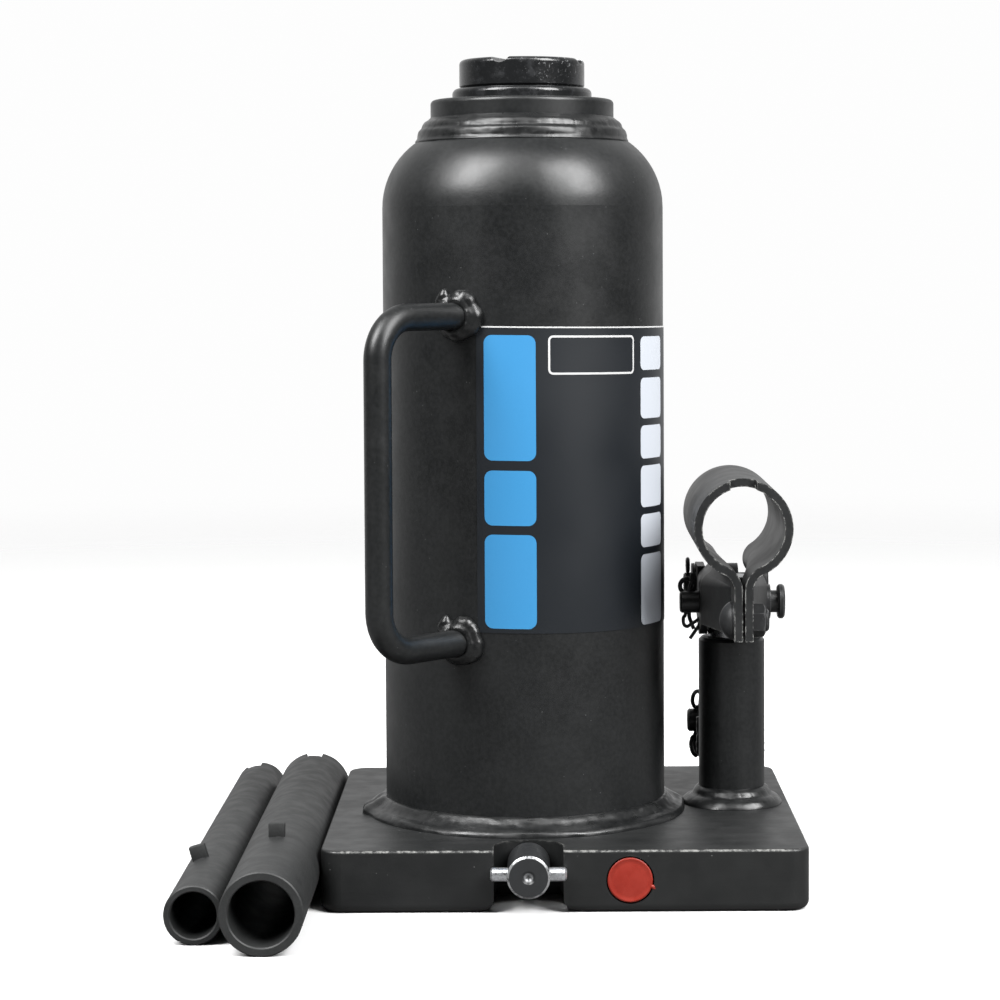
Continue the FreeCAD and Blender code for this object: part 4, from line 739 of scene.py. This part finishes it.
def label_panel(turns, low, high, corner, lift):
    """A round-cornered panel wrapped on the wall between two turns and two levels."""
    start, end = turns
    radius = TANK_R + lift
    per_degree = math.radians(1) * radius
    width = (end - start) * per_degree
    places = [corner * (1 - math.cos(math.pi / 2 * i / 8)) for i in range(8)]
    middle = max(2, round((width - 2 * corner) / (1.2 * MM)))
    stations = places + [corner + (width - 2 * corner) * i / middle for i in range(middle + 1)]
    stations += [width - p for p in reversed(places)]
    points = []
    for at in stations:
        short = max(corner - min(at, width - at), 0)
        inset = corner - math.sqrt(max(corner ** 2 - short ** 2, 0))
        for level in (low + inset, high - inset):
            points.append(wrapped(start + at / per_degree, level, radius))
    faces = [(2 * i, 2 * i + 2, 2 * i + 3, 2 * i + 1) for i in range(len(stations) - 1)]
    return mesh_of("panel", points, faces)


def label_frame(turns, low, high, corner, line, lift):
    """The outline of a round-cornered box, wrapped on the wall."""
    start, end = turns
    radius = TANK_R + lift
    per_degree = math.radians(1) * radius
    width = (end - start) * per_degree
    height = high - low
    per_corner = 8
    parts = 10
    points = []
    for margin in (0.0, line):
        round_r = max(corner - margin, 0.2 * MM)
        near, right, top = margin + round_r, width - margin - round_r, height - margin - round_r
        loop = []
        for cx, cz, first in ((right, top, 0), (near, top, 90), (near, near, 180), (right, near, 270)):
            for i in range(per_corner + 1):
                a = math.radians(first + i * 90 / per_corner)
                loop.append((cx + round_r * math.cos(a), cz + round_r * math.sin(a)))
        for a, b in zip(loop, loop[1:] + loop[:1]):
            for i in range(parts):
                along = a[0] + (b[0] - a[0]) * i / parts
                level = a[1] + (b[1] - a[1]) * i / parts
                points.append(wrapped(start + along / per_degree, low + level, radius))
    total = len(points) // 2
    faces = [(i, (i + 1) % total, total + (i + 1) % total, total + i) for i in range(total)]
    return mesh_of("outline", points, faces)


def make_label(ground, blue, white, line):
    """The label as one sheet: its ground, its bare blue and white plates, and its thin lines."""
    low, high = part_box("label")
    skin = high.x - TANK_R
    bottom = low.z + 1.1 * MM
    top = high.z + 0.05 * MM - BORDER
    sheets = [label_panel((LABEL_START, LABEL_END), bottom, top, 0.4 * MM, skin - PRINT_LIFT)]

    def printed(index, mesh):
        for face in mesh.polygons:
            face.material_index = index
        sheets.append(mesh)

    for z0, z1 in BLUE_LEVELS:
        printed(1, label_panel(BLUE_TURNS, z0 * MM, z1 * MM, BLUE_CORNER, skin))
    z0, z1 = FRAME_LEVELS
    printed(3, label_frame(FRAME_TURNS, z0 * MM, z1 * MM, FRAME_CORNER, FRAME_LINE, skin))
    for z0, z1 in WHITE_LEVELS:
        printed(2, label_panel(WHITE_TURNS, z0 * MM, z1 * MM, WHITE_CORNER, skin))
    printed(3, label_panel((LABEL_START, LABEL_END), top - 0.37 * MM, top, 0.05 * MM, skin))
    mesh = joined("label_sheet", sheets)
    finish_piece("label_sheet", mesh, "root", [ground, blue, white, line], ("label",))


# --- threaded screw, clips and cap ----------------------------------------------------------------
def make_extension_screw(steel):
    """The screw with its real right-handed thread, above a plain end with a groove for the stop ring."""
    low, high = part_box("extension_screw")
    crest = half_width("extension_screw") - 0.02 * MM
    root = crest - THREAD_DEEP
    sides = 72
    bottom = low.z + 5.2 * MM
    top = high.z - 0.05 * MM
    rows = round((top - bottom) / THREAD_PITCH * 12)

    def profile(part):
        """A trapezoid thread with rounded corners: 0 at the root and 1 at the crest."""
        climb = abs(2 * part - 1)
        return min(1.0, max(0.0, (climb - 0.28) / 0.44))

    points = [Vector((0, 0, bottom))]
    for i in range(rows + 1):
        z = bottom + (top - bottom) * i / rows
        for j in range(sides):
            turn = 2 * math.pi * j / sides
            part = (z / THREAD_PITCH - turn / (2 * math.pi)) % 1.0
            radius = root + (crest - root) * profile(part)
            points.append(Vector((radius * math.cos(turn), radius * math.sin(turn), z)))
    points.append(Vector((0, 0, top)))
    faces = [(a + 1, b + 1, c + 1, d + 1) for a, b, c, d in grid_faces(rows + 1, sides, False, True)]
    last = len(points) - 1
    upper = 1 + rows * sides
    for j in range(sides):
        faces.append((0, 1 + (j + 1) % sides, 1 + j))
        faces.append((last, upper + j, upper + (j + 1) % sides))
    thread = mesh_of("thread", points, faces)
    groove_low = low.z + 2 * MM
    groove_high = low.z + 4.2 * MM
    chamfer = 1.5 * MM
    plain_end = [(0, low.z), (crest - chamfer, low.z), (crest, low.z + chamfer), (crest, groove_low),
                 (root, groove_low), (root, groove_high), (crest, groove_high), (crest, bottom), (0, bottom)]
    mesh = joined("threaded_screw", [thread, lathe("end", plain_end, 72)])
    finish_piece("threaded_screw", mesh, "screw", [steel], ("extension_screw",))


def clip_eye(centre, radius, start, end, across):
    """A clip's round eye: points on an arc in the plane of across and Z."""
    steps = 30
    path = []
    for i in range(steps + 1):
        a = math.radians(start + (end - start) * i / steps)
        path.append(centre + (across * math.cos(a) + Vector((0, 0, 1)) * math.sin(a)) * radius)
    return path


def make_clip(name, node, body, steel, wires):
    """A clip out of bent wires, each a path and its radius in millimetres."""
    meshes = [tube_mesh("wire", path, radius * MM) for path, radius in wires]
    finish_piece(name, joined(name, meshes), body, [steel], (node,))


def pin_end(clip, pin):
    """Where a clip crosses its pin's axis."""
    low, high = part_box(clip)
    pin_low, pin_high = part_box(pin)
    return Vector(((low.x + high.x) / 2, (pin_low.y + pin_high.y) / 2, (pin_low.z + pin_high.z) / 2))


def make_clips(steel):
    """Bent wire clips through the left ends of the three pins; their points are millimetres from there."""
    right = Vector((1, 0, 0))
    back = Vector((0, 1, 0))
    at = pin_end("plunger_pin_clip", "plunger_pin")

    def point(x, y, z):
        return at + Vector((x, y, z)) * MM

    def wire(*places):
        return through([point(*place) for place in places])

    turned = (right * 0.96 + back * 0.28).normalized()
    eye = clip_eye(point(-0.2, 0.6, 4.4), 2.0 * MM, -60, 250, turned)
    leg = wire((1.3, 0.2, 8.0), (1.2, 0, 5.6), (0.6, 0, 3.6), (0.4, 0, -3.4), (0.9, -0.2, -5.6),
               (1.7, -0.3, -7.6))
    loop = wire((-0.6, 0, 3.0), (-0.6, 0, -3.2), (-1.2, -0.3, -4.4), (-1.1, -0.3, -6.2), (-0.2, -0.4, -6.9),
                (0.8, -0.4, -6.3), (2.6, -0.2, -5.2), (3.5, 0.1, -4.4))
    tail = wire((3.9, -0.8, -5.2), (2.4, -0.9, -7.6), (0.6, -0.8, -10.2))
    make_clip("plunger_pin_wire_clip", "plunger_pin_clip", "plunger", steel,
              ((eye, 0.62), (leg, 0.55), (loop, 0.5), (tail, 0.5)))

    at = pin_end("link_pin_clip", "link_pin")
    eye = clip_eye(point(0, 0, 4.9), 1.7 * MM, -80, 260, back)
    leg = wire((0, -0.3, 3.4), (0, -0.3, -3.2), (0.1, -1.4, -5.2), (0.1, -2.9, -6.4))
    other = wire((0, 0.3, 3.4), (0, 0.3, -3.2), (0.1, 1.3, -5.2), (0.2, 2.7, -7.2))
    make_clip("link_pin_wire_clip", "link_pin_clip", "link", steel, ((eye, 0.55), (leg, 0.5), (other, 0.5)))

    at = pin_end("fulcrum_pin_clip", "fulcrum_pin")
    turned = (right * 0.62 + back * 0.78).normalized()
    eye = clip_eye(point(0.6, 0, 5.9), 2.3 * MM, -80, 260, turned)
    leg = wire((0.3, -0.3, 4.0), (0.2, -0.2, -3.4), (-0.9, -0.6, -5.2), (-1.2, -0.8, -7.2),
               (-0.6, -0.7, -9.3), (0.5, -0.5, -10.4))
    other = wire((0.5, 0.3, 4.0), (0.5, 0.3, -3.4), (0.0, 0.6, -5.2), (-0.1, 0.8, -7.4), (0.5, 0.6, -9.6),
                 (1.4, 0.4, -10.2))
    make_clip("fulcrum_pin_wire_clip", "fulcrum_pin_clip", "root", steel,
              ((eye, 0.58), (leg, 0.62), (other, 0.62)))


def make_relief_cap(red):
    """A pressed-in plastic cap: a low dome with a rolled rim and the nib of its sprue."""
    low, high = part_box("relief_cap")
    cap_r = half_width("relief_cap")
    face = low.y + 0.12 * MM
    centre = mid("relief_cap")
    stand = Matrix.Translation(Vector((centre.x, face, centre.z))) @ Matrix.Rotation(math.radians(90), 4, "X")
    depth = high.y - face
    outline = [(0, 0.02 * MM), (cap_r * 0.35, 0.0), (cap_r * 0.72, -0.06 * MM), (cap_r * 0.84, -0.10 * MM),
               (cap_r * 0.90, 0.02 * MM), (cap_r * 0.95, 0.04 * MM), (cap_r * 0.985, -0.08 * MM),
               (cap_r, -0.26 * MM), (cap_r, -depth), (0, -depth)]
    cap = lathe("cap", outline, 96, stand)
    nib_turn = math.radians(-17)
    reach = cap_r + 0.25 * MM
    spot = Vector((centre.x + math.cos(nib_turn) * reach, face + 0.25 * MM,
                   centre.z + math.sin(nib_turn) * reach))
    balls = [(spot, 0.62 * MM), (spot + Vector((0.3, -0.05, -0.35)) * MM, 0.45 * MM)]
    nib = lobes("nib", balls, voxel=0.12 * MM, wobble=0.05 * MM)
    mesh = joined("relief_cap_moulding", [cap, nib])
    finish_piece("relief_cap_moulding", mesh, "root", [red], ("relief_cap",))


def make_tab(radius, wall, front):
    """The bevelled lug on top of a tube whose axis is Y."""
    tab = bmesh.new()
    bmesh.ops.create_cube(tab, size=1)
    bmesh.ops.scale(tab, verts=tab.verts, vec=(TAB_WIDE, TAB_LONG, TAB_HIGH + wall / 2))
    bmesh.ops.bevel(tab, geom=tab.edges[:], offset=0.35 * MM, segments=2, affect="EDGES", profile=0.5)
    place = (0, front + TAB_LONG / 2, radius + (TAB_HIGH - wall / 2) / 2)
    bmesh.ops.translate(tab, verts=tab.verts, vec=place)
    mesh = bpy.data.meshes.new("tab")
    tab.to_mesh(mesh)
    tab.free()
    return mesh


def make_handle_tube(name, node, body, sizes, paint):
    """A tube on the floor with a locking tab near its front and a notch across its back end."""
    radius, wall, tab_back, lean = sizes
    low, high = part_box(node)
    inner = radius - wall
    half = math.asin(TUBE_NOTCH_WIDE / 2 / radius)
    rest = 2 * math.pi - 2 * half
    columns = [(half + rest * i / 120, high.y) for i in range(121)]
    columns += [(-half + 2 * half * i / 12, high.y - TUBE_NOTCH_DEEP) for i in range(13)]
    points = []
    for turn, back in columns:
        outside = ((radius - EDGE_ROUND, low.y), (radius, low.y + EDGE_ROUND), (radius, back - EDGE_ROUND),
                   (radius - EDGE_ROUND, back))
        inside = ((inner + EDGE_ROUND, back), (inner, back - EDGE_ROUND), (inner, low.y + EDGE_ROUND),
                  (inner + EDGE_ROUND, low.y))
        for reach, y in outside + inside:
            points.append(Vector((reach * math.sin(turn), y, reach * math.cos(turn))))
    pipe = mesh_of("pipe", points, grid_faces(len(columns), 8, True, True))
    mesh = joined(name, [pipe, make_tab(radius, wall, low.y + tab_back)])
    axis = Vector((high.x - radius, 0, radius))
    mesh.transform(Matrix.Translation(axis) @ Matrix.Rotation(math.radians(-lean), 4, "Y"))
    mesh.set_sharp_from_angle(angle=math.radians(40))
    finish_piece(name, mesh, body, [paint], (node,))


# --- finishes of the CAD nodes --------------------------------------------------------------------
def paint_nodes(by_slot, by_node):
    """Gives each CAD node its own finish, or else the one of its slot."""
    for part in frame["record"]["subparts"]:
        node = frame["nodes"][part["node"]]
        chosen = by_node.get(part["node"], by_slot[part["material_slot"]])
        node.data.materials.clear()
        node.data.materials.append(chosen)


# --- stage ----------------------------------------------------------------------------------------
def make_floor():
    """A pale floor that fades into the backdrop; it throws back less light than the camera sees on it."""
    mesh = bpy.data.meshes.new("floor")
    disc = bmesh.new()
    bmesh.ops.create_circle(disc, cap_ends=True, segments=96, radius=FLOOR_R)
    disc.to_mesh(mesh)
    disc.free()
    floor = bpy.data.objects.new("floor", mesh)
    floor.location.z = -0.05 * MM
    bpy.context.scene.collection.objects.link(floor)
    g = Graph("floor")
    x, y, _ = g.axes()
    away = g.math("SQRT", g.math("ADD", g.times(x, x), g.times(y, y)))
    seen = g.add("LightPath").outputs["Is Camera Ray"]
    g.set(Base_Color=g.mix(seen, FLOOR_LIGHT, FLOOR_SEEN), Roughness=0.9)
    g.set(Specular_IOR_Level=0.0, Alpha=g.remap(away, *FLOOR_FADE, 1.0, 0.0))
    mesh.materials.append(g.material)


def make_world():
    """A pale backdrop: white behind the object, and dim on the camera's side."""
    world = bpy.data.worlds.new("studio")
    bpy.context.scene.world = world
    world.use_nodes = True
    tree = world.node_tree
    tree.nodes.clear()

    def add(kind):
        return tree.nodes.new("ShaderNode" + kind)

    out = add("OutputWorld")
    seen = add("Background")
    seen.inputs["Color"].default_value = BACKDROP_SEEN
    lit = add("Background")
    place = add("TexCoord")
    split = add("SeparateXYZ")
    level = add("MapRange")
    level.interpolation_type = "SMOOTHSTEP"
    for socket, value in (("From Min", -0.1), ("From Max", 0.9), ("To Min", 0.06), ("To Max", 1.0)):
        level.inputs[socket].default_value = value
    path = add("LightPath")
    mixed = add("MixShader")
    tree.links.new(place.outputs["Generated"], split.inputs[0])
    tree.links.new(split.outputs["Y"], level.inputs["Value"])
    tree.links.new(level.outputs["Result"], lit.inputs["Strength"])
    tree.links.new(path.outputs["Is Camera Ray"], mixed.inputs[0])
    tree.links.new(lit.outputs[0], mixed.inputs[1])
    tree.links.new(seen.outputs[0], mixed.inputs[2])
    tree.links.new(mixed.outputs[0], out.inputs["Surface"])


def softbox(name, direction, distance, size, power):
    """A rectangular area light that looks at the jack's upper part."""
    light = bpy.data.lights.new(name, "AREA")
    light.shape = "RECTANGLE"
    light.size, light.size_y = size
    light.energy = power
    lamp = bpy.data.objects.new(name, light)
    lamp.location = LIGHT_TARGET + Vector(direction).normalized() * distance
    lamp.rotation_euler = (LIGHT_TARGET - lamp.location).to_track_quat("-Z", "Y").to_euler()
    bpy.context.scene.collection.objects.link(lamp)


def make_camera():
    data = bpy.data.cameras.new("camera")
    camera = bpy.data.objects.new("camera", data)
    bpy.context.scene.collection.objects.link(camera)
    data.sensor_width = 36.0
    data.lens = CAMERA_LENS
    data.shift_x, data.shift_y = CAMERA_SHIFT
    camera.location = CAMERA_PLACE
    pitch = Matrix.Rotation(math.radians(90 - CAMERA_PITCH), 3, "X")
    roll = Matrix.Rotation(math.radians(-CAMERA_ROLL), 3, "Z")
    camera.rotation_euler = (pitch @ roll).to_euler()
    bpy.context.scene.camera = camera


def make_stage():
    make_camera()
    make_floor()
    make_world()
    softbox("left_softbox", (-0.54, -0.42, 0.70), distance=1.25, size=(0.60, 0.90), power=31)
    softbox("right_softbox", (0.60, -0.50, 0.60), distance=1.25, size=(0.60, 0.90), power=33)
    softbox("top_softbox", (0.02, -0.42, 0.91), distance=1.5, size=(0.9, 0.7), power=4)
    bpy.context.scene.view_settings.view_transform = "Standard"


def make_all():
    """Paints the CAD nodes, makes the pieces that replace or add to them, and sets the stage."""
    paint = black_paint("black_paint", (0.0030, 0.0036, 0.0038), (0.0056, 0.0063, 0.0065), 0.39)
    weld = weld_paint()
    tubes = grey_paint()
    black_steel = bare_or_black("blackened_steel", worn_edges, black=(0.020, 0.0205, 0.021), gloss=0.34,
                                bare=(0.36, 0.36, 0.37))
    steel = ground_steel()
    red = red_plastic()
    ram_black = bare_or_black("ram_black", ram_chips)
    ground = film("label_ground", (0.0042, 0.0062, 0.0090), (0.0060, 0.0085, 0.0120))
    by_slot = {"black_paint": paint, "weld_paint": weld, "grey_paint": tubes, "black_oxide": ram_black,
               "dark_steel": black_steel, "zinc_steel": zinc_steel(), "steel": steel,
               "gasket_metal": soft_metal(), "seal_rubber": rubber(), "guide_plastic": nylon(),
               "red_plastic": red, "label_film": ground}
    # the handle socket's coat is a lighter grey-black than the tank's: partly its own tone, partly painted
    # sheen for the lit top of its ring
    socket = black_paint("socket_paint_and_sheen", (0.0060, 0.0066, 0.0068), (0.0105, 0.0112, 0.0114), 0.44, wear=1.0)
    knob = bare_or_black("knob_black", knob_chips_and_glint, black=(0.018, 0.019, 0.020), gloss=0.30)
    by_node = {"base": base_paint(), "saddle": bare_or_black("saddle_black", saddle_chips),
               "release_spindle": knob, "handle_socket": socket}
    paint_nodes(by_slot, by_node)
    make_tank_weld(weld)
    make_pump_weld(weld)
    make_top_weld(weld)
    make_handle_welds(weld)
    make_bracket_welds(weld)
    make_label(ground, film("label_blue", (0.036, 0.228, 0.470), (0.030, 0.205, 0.440)),
               film("label_white", (0.53, 0.56, 0.61), (0.48, 0.51, 0.56)),
               film("label_line", (0.60, 0.60, 0.60), (0.45, 0.45, 0.45)))
    make_extension_screw(steel)
    make_clips(black_steel)
    make_relief_cap(red)
    make_handle_tube("large_tube", "handle_tube_large", "tube_large", LARGE_TUBE, tubes)
    make_handle_tube("small_tube", "handle_tube_small", "tube_small", SMALL_TUBE, tubes)
    make_stage()


make_all()
